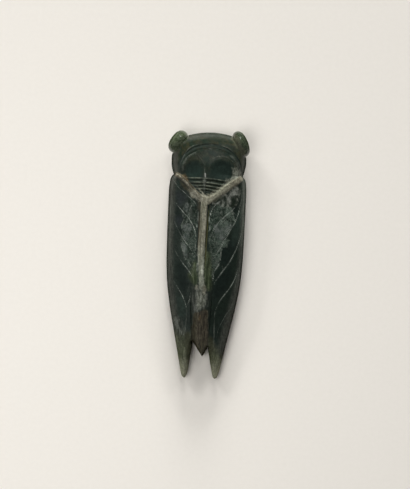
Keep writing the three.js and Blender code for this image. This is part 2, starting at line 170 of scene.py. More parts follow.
# %% Wrap the sockets of a node tree
class Wire:
    """An output in a node tree that adds, scales and raises like a number."""

    def __init__(self, tree, socket):
        self.tree = tree
        self.socket = socket

    def out(self, name):
        return Wire(self.tree, self.socket.node.outputs[name])

    def worked(self, operation, *terms):
        in_space = any(isinstance(term, Wire) and term.socket.type in ("VECTOR", "RGBA") for term in terms)
        kind = "ShaderNodeVectorMath" if in_space else "ShaderNodeMath"
        return add_node(self.tree, kind, {"operation": operation}, dict(enumerate(terms)))

    def __add__(self, other):
        return self.worked("ADD", self, other)

    def __sub__(self, other):
        return self.worked("SUBTRACT", self, other)

    def __rsub__(self, other):
        return self.worked("SUBTRACT", other, self)

    def __mul__(self, other):
        return self.worked("MULTIPLY", self, other)

    def __pow__(self, other):
        return self.worked("POWER", self, other)

    __radd__ = __add__
    __rmul__ = __mul__


def most(first, second):
    return first.worked("MAXIMUM", first, second)


def find_input(node, key):
    """An input by its place, its identifier or its name, in that order."""
    if isinstance(key, int):
        return node.inputs[key]
    by_identifier = [s for s in node.inputs if s.identifier == key]
    return (by_identifier or [s for s in node.inputs if s.name == key and s.enabled])[0]


def add_node(tree, kind, settings=None, values=None):
    """Adds a node: its settings first, then the value or the link of each socket."""
    node = tree.nodes.new(kind)
    for name, setting in (settings or {}).items():
        setattr(node, name, setting)
    for key, value in (values or {}).items():
        socket = find_input(node, key)
        if isinstance(value, Wire):
            tree.links.new(value.socket, socket)
        elif isinstance(value, (int, float)) and socket.type == "VECTOR":
            socket.default_value = (value,) * 3
        elif socket.type == "RGBA":
            socket.default_value = (*value, 1)
        else:
            socket.default_value = value
    shown = [s for s in node.outputs if s.enabled]
    return Wire(tree, shown[0]) if shown else node


# %% [markdown]
# ## The measures of the body
#
# A carver draws the outline on the pebble first and then takes the heights from it. The body is
# made in the same order. Places are shares of the object's own size: a station along the body is in
# hundredths of its length, counted from the middle towards the head, a place across it is a share
# of half the wing span, and a height is a share of the body's height under the raised band. Each
# profile is a smooth curve through a few such pairs, which never swings past them.

# %% Set out the shares
BAND_RISE = 0.4  # of the raised Y on the back


def along(station):
    return station / 100 * LENGTH


def station_of(y):
    return y / LENGTH * 100


def across(share):
    return share * WING_SPAN / 2


def up(share):
    return share * (THICKNESS - BAND_RISE)


def curve(points):
    """A smooth curve through (station, value) points that never swings past them."""
    at, value = np.array(points, float).T
    rise = np.diff(value) / np.diff(at)
    before, after = rise[:-1], rise[1:]
    turns = before * after <= 0
    mean = np.where(turns, 0, 2 * before * after / np.where(turns, 1, before + after))
    tangent = np.concatenate([rise[:1], mean, rise[-1:]])

    def read(station):
        s = np.clip(station, at[0], at[-1])
        i = np.clip(np.searchsorted(at, s) - 1, 0, len(at) - 2)
        span = at[i + 1] - at[i]
        t = (s - at[i]) / span
        start = value[i] * (1 + 2 * t) * (1 - t) ** 2 + span * tangent[i] * t * (1 - t) ** 2
        end = value[i + 1] * t * t * (3 - 2 * t) - span * tangent[i + 1] * t * t * (1 - t)
        return start + end

    return read


def smoothstep(value, start, end):
    t = np.clip((value - start) / (end - start), 0, 1)
    return t * t * (3 - 2 * t)


print(f"half the wing span: {across(1):.2f} mm, height under the band: {up(1):.2f} mm")

# %% [markdown]
# ## The outline
#
# Seen from above, the head is a broad cap with cheeks, and the wings start behind a notch, run on
# nearly straight and narrow to two tips. The line down the back wanders a little to the left, as
# the carver let it. These curves are the same templates as in the solid model.

# %% Draw the outline and the line down the back
FRONT = 48.6  # middle of the head's front edge
NOTCH = 31.4  # where the cheek meets the wing's shoulder
BROW = 44.3  # where the front of the head starts to drop
VERTEX = 21.4  # where the arms of the Y meet
RUMP = -29  # where the abdomen starts to narrow
CROTCH = -36.1  # where the wings leave the abdomen's sides
TAIL = -50  # the wing tips

head_width = curve([
    (NOTCH, 0.889), (32.6, 0.917), (34.3, 0.945), (36.4, 0.963), (38.6, 0.963), (43, 0.912), (46, 0.86),
])
wing_width = curve([
    (TAIL, 0.396), (-49.4, 0.447), (-47.7, 0.489), (-42.9, 0.557), (-31.4, 0.712), (-20, 0.862),
    (-10, 0.954), (0, 0.988), (17, 0.998), (24.3, 1), (28.9, 0.977), (30.4, 0.946), (NOTCH, 0.889),
])
spine = curve([
    (TAIL, 0), (-36, -0.016), (-25.7, -0.034), (-14.3, -0.041), (-8.6, -0.069), (0, -0.075),
    (VERTEX, -0.072), (28.6, -0.083), (34.3, -0.095), (40, -0.06), (FRONT, 0),
])
inner_width = curve([
    (TAIL, 0.396), (-49.4, 0.352), (-47.1, 0.309), (-41.4, 0.25), (CROTCH, 0.207), (-25.7, 0.24),
    (-17, 0.263), (-13, 0.263), (-8.6, 0.221), (-4.3, 0.157), (0, 0.103), (VERTEX, 0.103),
    (31, 0.2), (FRONT, 0.3),
])
ABDOMEN_TIP = (0.044, -41.2)


def half_width(station):
    return np.where(station > NOTCH, head_width(station), wing_width(station))


print(f"across the notches: {2 * across(float(half_width(NOTCH))):.2f} mm")

# %% [markdown]
# ## Rows across the body
#
# The skin is woven from rows that run across the body and columns that run along it. The rows bow
# round the front of the head and lean with it, and at the crotch they slant, because the wings
# leave the abdomen further back on its right side. Rows and columns lie about a seventh of a
# millimetre apart, which is half of one dot of the photograph, so the finest line can be carved.

# %% Lay out the rows and columns
HEAD_TURN_DEG = 1.5
HEAD_LEAN = math.tan(math.radians(HEAD_TURN_DEG))
CROTCH_SLANT = 1.05
front_bow = curve([(28, 0), (FRONT, 3)])
head_share = curve([(NOTCH, 0), (38, 1), (FRONT, 1)])
crotch_slant = curve([(-46, 0), (CROTCH, CROTCH_SLANT), (-26, 0)])

FINE = 1
WING_COLUMNS = int(56 * FINE)
CENTRE_COLUMNS = int(36 * FINE)
RIM_CROWDING = 1.3


def stations(start, end, count, ease=1.0):
    """Stations from one to another; an ease over 1 crowds them at the start, under 1 at the end."""
    count = 2 * round(count * FINE / 2)
    t = np.arange(1, count + 1) / count
    return start + (end - start) * (1 - (1 - t) ** (1 / ease) if ease < 1 else t**ease)


def plan_point(row, x, slant):
    side = x / half_width(row - front_bow(row))
    lean = HEAD_LEAN * head_share(row) * across(x) * 100 / LENGTH
    bowed = row - front_bow(row) * side**2 + lean + crotch_slant(row) * slant
    return np.stack(np.broadcast_arrays(across(x), along(bowed)), axis=-1)


shared_rows = np.concatenate([
    [FRONT],
    stations(FRONT, BROW, 24, 2),
    stations(BROW, VERTEX, 104),
    stations(VERTEX, RUMP, 200),
    stations(RUMP, CROTCH, 36, 0.55),
])
wing_rows = np.concatenate([shared_rows, stations(CROTCH, TAIL, 54, 0.6)])

print("rows over wings and abdomen:", len(wing_rows), len(shared_rows))

# %% Lay out the wings and the middle
def wing_patch(side):
    rows = wing_rows[:, None]
    outer = side * half_width(rows - front_bow(rows))
    inner = spine(rows) + side * inner_width(rows)
    t = (np.arange(WING_COLUMNS + 1) / WING_COLUMNS) ** RIM_CROWDING
    points = plan_point(rows, outer + (inner - outer) * t, -side * t)
    return points if side < 0 else points[:, ::-1]


def middle_patch():
    rows = shared_rows[:, None]
    side = 2 * np.arange(CENTRE_COLUMNS + 1) / CENTRE_COLUMNS - 1
    points = plan_point(rows, spine(rows) + side * inner_width(rows), -side)
    tip = np.array([across(ABDOMEN_TIP[0]), along(ABDOMEN_TIP[1])])
    t = stations(0, 1, 24)[:, None, None]
    return np.concatenate([points, points[-1] + (tip - points[-1]) * t])


left_wing, middle, right_wing = wing_patch(-1), middle_patch(), wing_patch(1)
SHARED = len(shared_rows) - 1
print("rows and columns:", left_wing.shape[:2], middle.shape[:2])

# %% [markdown]
# ## The heights
#
# Across the back the stone falls from a crest to the rim, like a roof over the wings and like a dome
# over the head. The edge is rounded over a set distance, so the height of a place depends on how far
# it lies from the outline. The abdomen stands a little proud between the wings.

# %% Find the distance to the outline
def nearest(points, starts, ends):
    """Distance from each point to the nearest of some straight pieces of a line."""
    way = ends - starts
    square = np.maximum((way**2).sum(axis=1), 1e-12)
    found = np.empty(len(points))
    for i in range(0, len(points), 4000):
        off = points[i : i + 4000, None] - starts
        t = np.clip((off * way).sum(axis=2) / square, 0, 1)
        found[i : i + 4000] = np.sqrt((((off - way * t[..., None])) ** 2).sum(axis=2).min(axis=1))
    return found


outline = [
    np.concatenate([left_wing[0], middle[0], right_wing[0]]),
    left_wing[:, 0],
    right_wing[:, -1],
    left_wing[SHARED:, -1],
    right_wing[SHARED:, 0],
    middle[SHARED:, 0],
    middle[SHARED:, -1],
]
outline_starts = np.concatenate([line[:-1] for line in outline])
outline_ends = np.concatenate([line[1:] for line in outline])
print("pieces in the outline:", len(outline_starts))

# %% Take the heights from the outline
crest = curve([
    (TAIL, 0.31), (-41, 0.45), (CROTCH, 0.51), (-21, 0.71), (-7, 0.86), (7, 0.94), (VERTEX, 1),
    (29, 1), (34, 0.97), (40, 0.85), (44, 0.74), (46, 0.65), (FRONT, 0.52),
])
rim_top = curve([
    (TAIL, 0.27), (-40, 0.33), (-28.6, 0.39), (-14, 0.46), (0, 0.5), (14, 0.54), (29, 0.6),
    (36, 0.64), (43, 0.62), (FRONT, 0.5),
])
rim_middle = curve([
    (TAIL, 0.17), (-40, 0.19), (-28.6, 0.24), (-14, 0.3), (0, 0.34), (14, 0.36), (29, 0.38),
    (36, 0.37), (FRONT, 0.35),
])
rim_foot = curve([
    (TAIL, 0.08), (-40, 0.09), (-28.6, 0.13), (-14, 0.18), (0, 0.21), (14, 0.22), (29, 0.19),
    (36, 0.12), (FRONT, 0.14),
])
belly = curve([(TAIL, 0.06), (-43, 0.02), (-38, -0.03), (38, -0.03), (44, 0.02), (FRONT, 0.1)])
roof_power = curve([(TAIL, 1.4), (18, 1.5), (31, 2.1), (FRONT, 2.4)])
WING_EDGE_ROUND = 1.2
HEAD_EDGE_ROUND = 2.4
ABDOMEN_CROWN = 0.6


def lerp(start, end, t):
    return start + (end - start) * t


def edge_share(inset, station):
    reach = lerp(WING_EDGE_ROUND, HEAD_EDGE_ROUND, smoothstep(station, 29, 36))
    return np.sqrt(1 - (1 - np.minimum(1, inset / reach)) ** 2)


def side_share(x, station):
    middle_line, edge = across(spine(station)), across(half_width(station))
    off = x - middle_line
    return np.clip(np.where(off < 0, -off / (middle_line + edge), off / (edge - middle_line)), 0, 1)


def abdomen_crown(x, station):
    side = (x - across(spine(station))) / across(inner_width(station))
    return ABDOMEN_CROWN * smoothstep(-station, 0, 13) * np.maximum(0, 1 - side**2)


print(f"crest at the notches: {up(float(crest(NOTCH))):.2f} mm, rim: {up(float(rim_middle(NOTCH))):.2f} mm")

# %% Hollow the two lobes of the shoulder disc
# the middle of each lobe and how far it reaches across and along
LOBES = [((-0.38, 33.2), (0.25, 3.6)), ((0.32, 33.4), (0.29, 4.0))]
LOBE_DEPTH = 0.42
LOBE_EDGE = 1.1
LOBE_FLOOR = 0.35


def ellipse_share(x, y, centre, reach):
    """How far out of an ellipse's middle places lie; its edge is at 1."""
    return np.hypot((x - across(centre[0])) / across(reach[0]), (y - along(centre[1])) / along(reach[1]))


def lobe_share(x, y, lobes, edge, floor):
    """1 on the floor of a lobe, 0 from its edge outwards."""
    share = np.zeros(np.shape(x))
    for centre, reach in lobes:
        share = np.maximum(share, smoothstep(-ellipse_share(x, y, centre, reach), -edge, -floor))
    return share


def top_surface(x, y, inset):
    station = station_of(y)
    fall = side_share(x, station) ** roof_power(station)
    full = up(lerp(crest(station), rim_top(station), fall)) + abdomen_crown(x, station)
    edge = up(rim_middle(station))
    hollowed = LOBE_DEPTH * lobe_share(x, y, LOBES, LOBE_EDGE, LOBE_FLOOR)
    return edge + (full - edge) * edge_share(inset, station) - hollowed


def bottom_surface(x, y, inset):
    station = station_of(y)
    full = up(lerp(belly(station), rim_foot(station), side_share(x, station) ** 2))
    edge = up(rim_middle(station))
    return np.maximum(0, edge - (edge - full) * edge_share(inset, station))


print("lobes:", len(LOBES), "each", LOBE_DEPTH, "mm deep")

# %% [markdown]
# ## One closed skin
#
# The upper and the lower skin meet in one line along the outline. The underside is plain, so it
# takes every second row and column. Along the outline its faces also take in the points in between,
# which the upper skin has there: a closed mesh has no open seams, and the eyes can be joined to it.

# %% Weave both skins
def weave():
    points, faces = [], []

    def add_points(plan, heights):
        first = sum(len(block) for block in points)
        points.append(np.concatenate([plan, heights[..., None]], axis=-1).reshape(-1, 3))
        return first + np.arange(heights.size).reshape(heights.shape)

    # each part with the rows at which its left and its right side start to lie on the rim
    parts = ((left_wing, 0, SHARED), (middle, SHARED, SHARED), (right_wing, SHARED, 0))
    for patch, rim_left, rim_right in parts:
        flat = patch.reshape(-1, 2)
        inset = nearest(flat, outline_starts, outline_ends)
        rim = np.zeros(patch.shape[:2], bool)
        rim[0] = rim[rim_left:, 0] = rim[rim_right:, -1] = True
        edge = up(rim_middle(station_of(patch[..., 1])))
        heights = [
            np.where(rim, edge, surface(flat[:, 0], flat[:, 1], inset).reshape(edge.shape))
            for surface in (top_surface, bottom_surface)
        ]
        top = add_points(patch, heights[0])
        bottom = add_points(patch, heights[1])
        squares = np.stack([top[:-1, :-1], top[1:, :-1], top[1:, 1:], top[:-1, 1:]], axis=-1)
        faces += squares.reshape(-1, 4).tolist()
        for row in range(2, len(patch), 2):
            for column in range(2, patch.shape[1], 2):
                before_row, before_column = row - 2, column - 2
                ring = [bottom[before_row, before_column]]
                if before_row == 0:
                    ring.append(bottom[0, column - 1])
                ring.append(bottom[before_row, column])
                if rim[row - 1, column]:
                    ring.append(bottom[row - 1, column])
                ring += [bottom[row, column], bottom[row, before_column]]
                if rim[row - 1, before_column]:
                    ring.append(bottom[row - 1, before_column])
                faces.append(ring)
    return np.concatenate(points), faces


# %% Make one closed mesh of them
STEPS_PER_MM = 1e5  # points that lie in the same step are one


def joined(points, faces):
    """The same faces with points that share a place made one, and without empty faces."""
    rounded = np.round(points * STEPS_PER_MM).astype(np.int64)
    _, keep, number = np.unique(rounded, axis=0, return_index=True, return_inverse=True)
    number = number.ravel()
    kept = []
    for face in faces:
        ring = [int(number[i]) for i in face]
        ring = [i for i, before in zip(ring, ring[-1:] + ring[:-1]) if i != before]
        if len(set(ring)) > 2:
            kept.append(ring)
    used = np.unique(np.concatenate([np.array(ring) for ring in kept]))
    renumber = np.zeros(len(keep), int)
    renumber[used] = np.arange(len(used))
    return points[keep][used], [[int(renumber[i]) for i in ring] for ring in kept]


body_points, body_faces = joined(*weave())
stone = bpy.data.meshes.new("cicada_body")
stone.from_pydata((body_points * MM).tolist(), [], body_faces)
body = placed("cicada_body", stone)


def open_edges(mesh):
    shell = bmesh.new()
    shell.from_mesh(mesh)
    count = sum(1 for edge in shell.edges if len(edge.link_faces) != 2)
    volume = shell.calc_volume(signed=True) / MM**3
    shell.free()
    return count, volume


print("body:", len(stone.vertices), "points, open edges and volume:", open_edges(stone))

# %% [markdown]
# ## The eyes
#
# Each eye is a bulge at a corner of the head that stands out over the cheek. A bulge with an
# overhang can't be drawn by heights alone, so it is an ellipsoid of its own, joined to the body with
# a Boolean modifier. The result is one closed skin, as it is in the stone.

# %% Shape the eyes
EYE_HALF_HEIGHT = 2.5
EYE_LEVEL = 0.48
EYE_PLUMPNESS = 2.25  # 2 is an ellipse seen from above, more is fuller at its corners
# for the left (-1) and the right (1) eye: its middle, half its length and width, and its lean
EYES = {-1: ((-0.812, 44.3), 3.45, 2.15, -32.0), 1: ((0.803, 44.4), 3.8, 2.0, 24.5)}


def eye_place(side):
    """The middle of an eye in millimetres, half its length and width, and the angle of its lean."""
    (share, station), half_length, half_width_of_eye, lean = EYES[side]
    return across(share), along(station), half_length, half_width_of_eye, math.radians(lean)


def plump(wide, long):
    """The distance from an eye's middle, seen from above, as a share of its size that way."""
    return (abs(wide) ** EYE_PLUMPNESS + abs(long) ** EYE_PLUMPNESS) ** (1 / EYE_PLUMPNESS)


def eye_shares(points, side):
    """Where points lie in an eye: outwards, along it and how far out of its middle in all."""
    x, y, half_length, half_width_of_eye, angle = eye_place(side)
    dx, dy, dz = points[:, 0] - x, points[:, 1] - y, points[:, 2] - up(EYE_LEVEL)
    wide = (dx * math.cos(angle) + dy * math.sin(angle)) / half_width_of_eye
    long = (dy * math.cos(angle) - dx * math.sin(angle)) / half_length
    return wide * side, long, np.hypot(plump(wide, long), dz / EYE_HALF_HEIGHT)


for side in EYES:
    print("middle and half size of an eye, in mm:", [round(value, 2) for value in eye_place(side)[:4]])

# %% Join the eyes to the head
def join_eye(side):
    ball = bmesh.new()
    bmesh.ops.create_icosphere(ball, subdivisions=6, radius=1)
    x, y, half_length, half_width_of_eye, angle = eye_place(side)
    for point in ball.verts:
        fuller = math.hypot(point.co.x, point.co.y) / max(plump(point.co.x, point.co.y), 1e-9)
        wide, long = point.co.x * fuller * half_width_of_eye, point.co.y * fuller * half_length
        point.co.x = (x + wide * math.cos(angle) - long * math.sin(angle)) * MM
        point.co.y = (y + wide * math.sin(angle) + long * math.cos(angle)) * MM
        point.co.z = (up(EYE_LEVEL) + point.co.z * EYE_HALF_HEIGHT) * MM
    mesh = bpy.data.meshes.new("eye")
    ball.to_mesh(mesh)
    ball.free()
    eye = placed("eye", mesh)
    union = body.modifiers.new("eye", "BOOLEAN")
    union.operation = "UNION"
    union.solver = "MANIFOLD"
    union.object = eye
    return eye


def settled(source, *helpers):
    """The result of the object's modifiers as a plain mesh; the helpers are removed."""
    result = bpy.data.meshes.new_from_object(source.evaluated_get(bpy.context.evaluated_depsgraph_get()))
    source.modifiers.clear()
    old = source.data
    source.data = result
    bpy.data.meshes.remove(old)
    for helper in helpers:
        data = helper.data
        bpy.data.objects.remove(helper)
        bpy.data.meshes.remove(data)
    return result


eyes = [join_eye(-1), join_eye(1)]
stone = settled(body, *eyes)
print("with eyes:", len(stone.vertices), "points, open edges and volume:", open_edges(stone))

# %% [markdown]
# In the stone an eye doesn't sit on the head like a bead. The tool left a soft hollow round it. So
# the crease that the Boolean leaves is relaxed: each point near it moves towards the middle of its
# neighbours, a few times over.

# %% Relax the crease round the eyes
def places(mesh):
    """The points of a mesh, in millimetres."""
    flat = np.empty(len(mesh.vertices) * 3, np.float32)
    mesh.vertices.foreach_get("co", flat)
    return flat.reshape(-1, 3).astype(float) / MM


def relax(mesh, share, rounds):
    """Moves each point towards the middle of its neighbours by its share, some rounds over."""
    points = places(mesh)
    pairs = np.empty(len(mesh.edges) * 2, np.int32)
    mesh.edges.foreach_get("vertices", pairs)
    first, second = pairs.reshape(-1, 2).T
    count = np.bincount(pairs, minlength=len(points))[:, None]
    for _ in range(rounds):
        total = np.zeros_like(points)
        np.add.at(total, first, points[second])
        np.add.at(total, second, points[first])
        points += (total / count - points) * share[:, None]
    mesh.vertices.foreach_set("co", (points * MM).ravel())
    mesh.update()


EYE_SKIN = 1.004  # a place just outside an eye's own surface
CREASE_SHARE = 0.8
CREASE_ROUNDS = 14
HEAD_REACH = 20  # stations from the front that hold all of the eyes
FAR = 99

points = places(stone)
inset = nearest(points[:, :2], outline_starts, outline_ends)
within = points[:, 1] > along(FRONT - HEAD_REACH)
skin_height = np.where(within, top_surface(points[:, 0], points[:, 1], inset), FAR)
left_out, _, left_reach = eye_shares(points, -1)
right_out, _, right_reach = eye_shares(points, 1)
eye_reach = np.minimum(left_reach, right_reach)
off_head = np.where(eye_reach < EYE_SKIN, np.abs(points[:, 2] - skin_height), 0)
crease = np.where(within, 1 - smoothstep(np.maximum((eye_reach - 1) * 2.5, off_head), 0.1, 0.7), 0)
relax(stone, crease * CREASE_SHARE, CREASE_ROUNDS)
print("points in the crease:", int((crease > 0.1).sum()))

# %% [markdown]
# ## Where the tools may cut
#
# The carving must not run over the eyes, and it dies out at the rim, as a drawn stroke does. So each
# point of the mesh first learns what it is: how far it lies from the outline, and whether it belongs
# to the back, the underside or an eye. These facts are stored on the mesh as attributes, and later
# the finish of the stone reads them too.

# %% Store what each point of the skin is
FAR_FROM_EDGE = 9  # millimetres, more than any rim or soft edge takes


def above_rim(points, margin=0.0):
    """Whether points lie higher than the rim, or no more than the margin under it."""
    return points[:, 2] > up(rim_middle(station_of(points[:, 1]))) - margin


def store(name, values):
    attribute = stone.attributes.get(name) or stone.attributes.new(name, "FLOAT", "POINT")
    attribute.data.foreach_set("value", np.ascontiguousarray(values, np.float32))


on_eye = 1 - smoothstep(eye_reach, EYE_SKIN, 1.08)
points = places(stone)
above = above_rim(points)
store("inset", np.where(on_eye > 0.5, FAR_FROM_EDGE, inset))
store("on_eye", on_eye)
store("eye_out", np.where(points[:, 0] < 0, left_out, right_out))
store("back", np.where(above, smoothstep(inset, 0.1, 0.8) * (1 - on_eye), 0))
store("under", np.where(above, 0, smoothstep(inset, 0.5, 1.5) * (1 - on_eye)))
print("points on the upper skin:", int(above.sum()), "of", len(points))

# %% [markdown]
# ## Carve along lines
#
# Nearly all the carving follows lines: veins, rings, the grooves of the collar, the raised Y. One
# Geometry Nodes tree does them all. It measures how far each point of the skin is from the nearest
# line, seen from above, and lifts or sinks it by a rounded profile. Each line carries its own size
# along its length, so a stroke can thin out. The tree also keeps two attributes: a mark, which says
# where it worked, and the level that it reached. A later line only adds what rises above that
# level, so two bands that cross don't pile up, as they wouldn't in the stone.

# %% Build the carving tree
carving = bpy.data.node_groups.new("carve_along_lines", "GeometryNodeTree")
SOCKETS = {
    "Skin": "Geometry",
    "Lines": "Object",
    "Width": "Float",
    "Rise": "Float",
    "Flat top": "Float",
    "Where": "String",
    "Mark": "String",
    "Level": "String",
    "Stone": "Material",
}
inputs = {}
for name, kind in SOCKETS.items():
    socket = carving.interface.new_socket(name, in_out="INPUT", socket_type="NodeSocket" + kind)
    inputs[name] = socket.identifier
carving.interface.new_socket("Skin", in_out="OUTPUT", socket_type="NodeSocketGeometry")

group_in = carving.nodes.new("NodeGroupInput")
given = {name: Wire(carving, group_in.outputs[name]) for name in SOCKETS}


def recall(name):
    """The value stored at each point under a name."""
    return add_node(carving, "GeometryNodeInputNamedAttribute", {"data_type": "FLOAT"}, {"Name": name})


def remember(geometry, name, value):
    """Stores a value at each point, under a name."""
    settings = {"data_type": "FLOAT", "domain": "POINT"}
    values = {"Geometry": geometry, "Name": name, "Value": value}
    return add_node(carving, "GeometryNodeStoreNamedAttribute", settings, values)


print("inputs of the carving tree:", *inputs)

# %% Measure the way to the nearest line
lines = add_node(carving, "GeometryNodeObjectInfo", None, {"Object": given["Lines"]}).out("Geometry")
place = add_node(carving, "GeometryNodeInputPosition")
seen_from_above = place * (1.0, 1.0, 0.0)
closest = add_node(
    carving,
    "GeometryNodeProximity",
    {"target_element": "EDGES"},
    {"Target": lines, "Source Position": seen_from_above},
)
distance = closest.out("Distance")
number = add_node(
    carving,
    "GeometryNodeSampleNearest",
    {"domain": "POINT"},
    {"Geometry": lines, "Sample Position": closest.out("Position")},
)
size = add_node(
    carving,
    "GeometryNodeSampleIndex",
    {"data_type": "FLOAT", "domain": "POINT"},
    {"Geometry": lines, "Value": recall("size"), "Index": number},
)
half = size * given["Width"] * 0.5
profile = add_node(
    carving,
    "ShaderNodeMapRange",
    {"interpolation_type": "SMOOTHSTEP"},
    {
        "Value": distance,
        "From Min": half * given["Flat top"],
        "From Max": half,
        "To Min": 1.0,
        "To Max": 0.0,
    },
)
cut = profile * recall(given["Where"]) * size
print("nodes that measure:", len(carving.nodes))

# %% Lift or sink the skin
reached = recall(given["Level"])
level = most(reached, cut * given["Rise"].worked("ABSOLUTE", given["Rise"]))
up_or_down = given["Rise"].worked("SIGN", given["Rise"])
lift = add_node(carving, "ShaderNodeCombineXYZ", None, {"Z": (level - reached) * up_or_down})
moved = add_node(carving, "GeometryNodeSetPosition", None, {"Geometry": given["Skin"], "Offset": lift})
marked = remember(moved, given["Mark"], most(recall(given["Mark"]), cut))
levelled = remember(marked, given["Level"], level)
real = add_node(carving, "GeometryNodeRealizeInstances", None, {"Geometry": levelled})
values = {"Geometry": real, "Material": given["Stone"]}
finished = add_node(carving, "GeometryNodeSetMaterial", None, values)
group_out = carving.nodes.new("NodeGroupOutput")
carving.links.new(finished.socket, group_out.inputs[0])
print("nodes in the carving tree:", len(carving.nodes))

# %% [markdown]
# ## Strokes
#
# A stroke is a smooth line through a few places on the back. It becomes a chain of short edges in a
# helper mesh, with the size of the stroke stored at each point.

# %% Draw strokes
def smooth_line(places_on_back, step=0.12, closed=False):
    """Points in millimetres, about a step apart, on a smooth line through shares and stations."""
    p = np.array([(across(x), along(station)) for x, station in places_on_back])
    padded = np.vstack([p[-1:], p, p[:2]]) if closed else np.vstack([p[:1], p, p[-1:]])
    pieces = []
    for a, b, c, d in zip(padded, padded[1:], padded[2:], padded[3:]):
        count = max(2, math.ceil(math.dist(b, c) / step))
        t = np.arange(count)[:, None] / count
        bend = (2 * a - 5 * b + 4 * c - d) * t**2 + (3 * b - a - 3 * c + d) * t**3
        pieces.append(0.5 * (2 * b + (c - a) * t + bend))
    return np.vstack(pieces if closed else pieces + [p[-1:]])


hand = np.random.default_rng(11)  # the unevenness of the carver's hand, the same in each run
POINTS_PER_KNOT = 12


def stroke(places_on_back, ends=(0.35, 0.35), rate=2.6, strength=1.0, uneven=0.12):
    """A line with the size that it has at each point: ends gives the size at its start and end."""
    line = smooth_line(places_on_back)
    t = np.linspace(0, 1, len(line))
    size = np.minimum(1, np.minimum(ends[0] + rate * t, ends[1] + rate * (1 - t)))
    knots = max(3, len(line) // POINTS_PER_KNOT)
    wander = np.interp(t, np.linspace(0, 1, knots), hand.uniform(-1, 1, knots))
    return line, strength * size * (1 + uneven * wander)


# %% Carve with strokes
jade = bpy.data.materials.new("carved_jade")
line_helpers = []


def carve(name, strokes, width, rise, flat_top=0.0, where="back", mark=None):
    """Adds one carving to the body: width and rise in millimetres, a negative rise cuts."""
    points_of_lines, sizes, edges = [], [], []
    for line, size in strokes:
        first = len(sizes)
        points_of_lines += [(x * MM, y * MM, 0) for x, y in line]
        sizes += size.tolist()
        edges += [(i, i + 1) for i in range(first, len(sizes) - 1)]
    mesh = bpy.data.meshes.new(name)
    mesh.from_pydata(points_of_lines, edges, [])
    mesh.attributes.new("size", "FLOAT", "POINT").data.foreach_set("value", np.array(sizes, np.float32))
    helper = placed(name, mesh)
    line_helpers.append(helper)
    modifier = body.modifiers.new(name, "NODES")
    modifier.node_group = carving
    values = {
        "Lines": helper,
        "Width": width * MM,
        "Rise": rise * MM,
        "Flat top": flat_top,
        "Where": where,
        "Mark": mark or name,
        "Level": f"{where}_{'raised' if rise > 0 else 'sunk'}",
        "Stone": jade,
    }
    for key, value in values.items():
        modifier[inputs[key]] = value
    print(f"{name}: {len(strokes)} strokes, {len(edges)} edges")


# %% [markdown]
# ## The collar and the shoulder disc
#
# Two arcs frame the shoulders like a collar. The outer groove is the deeper one, and its outer lip
# is painted lighter, a painted highlight along the raised lip. Both are parts of ellipses round the
# same middle.

# %% Carve the collar
SHOULDER_CENTRE = (0.037, 33.6)
COLLAR_REACH = (0.79, 9.7)  # from that middle, across and along
DISC_REACH = (0.725, 8.1)
LIP_LEFT = [(-0.69, 35.5), (-0.68, 37.1), (-0.62, 39.3), (-0.53, 41.4), (-0.4, 42.7), (-0.2, 43.5)]
LIP_RIGHT = [
    (-0.2, 43.5), (0.14, 43.4), (0.29, 43.1), (0.45, 42.4), (0.55, 41.5), (0.66, 40.0), (0.77, 38.1),
]
RIM_LEFT = [
    (-0.68, 31.5), (-0.66, 32.9), (-0.65, 34.7), (-0.61, 36.3), (-0.54, 37.8), (-0.44, 39.0), (-0.34, 39.9),
]
RIM_RIGHT = [(0.5, 39.7), (0.58, 38.9), (0.66, 37.6), (0.73, 35.9), (0.76, 34.1)]


def arc(reach, start_deg, end_deg, count=24):
    (x, station), (half_across, half_along) = SHOULDER_CENTRE, reach
    angles = np.radians(np.linspace(start_deg, end_deg, count + 1))
    return [(x + half_across * math.cos(a), station + half_along * math.sin(a)) for a in angles]


carve("collar_groove", [stroke(arc(COLLAR_REACH, -12, 192))], 0.9, -0.22)
carve("disc_groove", [stroke(arc(DISC_REACH, -6, 186))], 0.6, -0.12)
carve("collar_lip", [stroke(LIP_LEFT, (0.2, 0.2), 3, 0.6), stroke(LIP_RIGHT, (0.1, 0.3), 1.2)], 0.45, 0.06)
carve("disc_rim", [stroke(RIM_LEFT, (0.3, 0.1), 3, 0.9), stroke(RIM_RIGHT, (0.2, 0.3), 3)], 1.3, 0.1)

# %% [markdown]
# ## The keel, its fork and the rings
#
# Between the lobes runs a keel that forks towards the head. Behind the lobes it crosses four rings,
# which narrow towards the point where the arms of the Y meet, and swells into a bead on each.

# %% Carve the keel and the rings
RINGS = [(28.9, -0.6, 0.62), (27.3, -0.48, 0.48), (26.1, -0.38, 0.34), (24.9, -0.28, 0.22)]
RIDGES = [(29.75, -0.62, 0.62), (28.1, -0.54, 0.56), (26.8, -0.42, 0.42), (25.6, -0.32, 0.28)]


def cross_line(station, start, end):
    return [(start, station), ((start + end) / 2, station), (end, station - 0.9)]


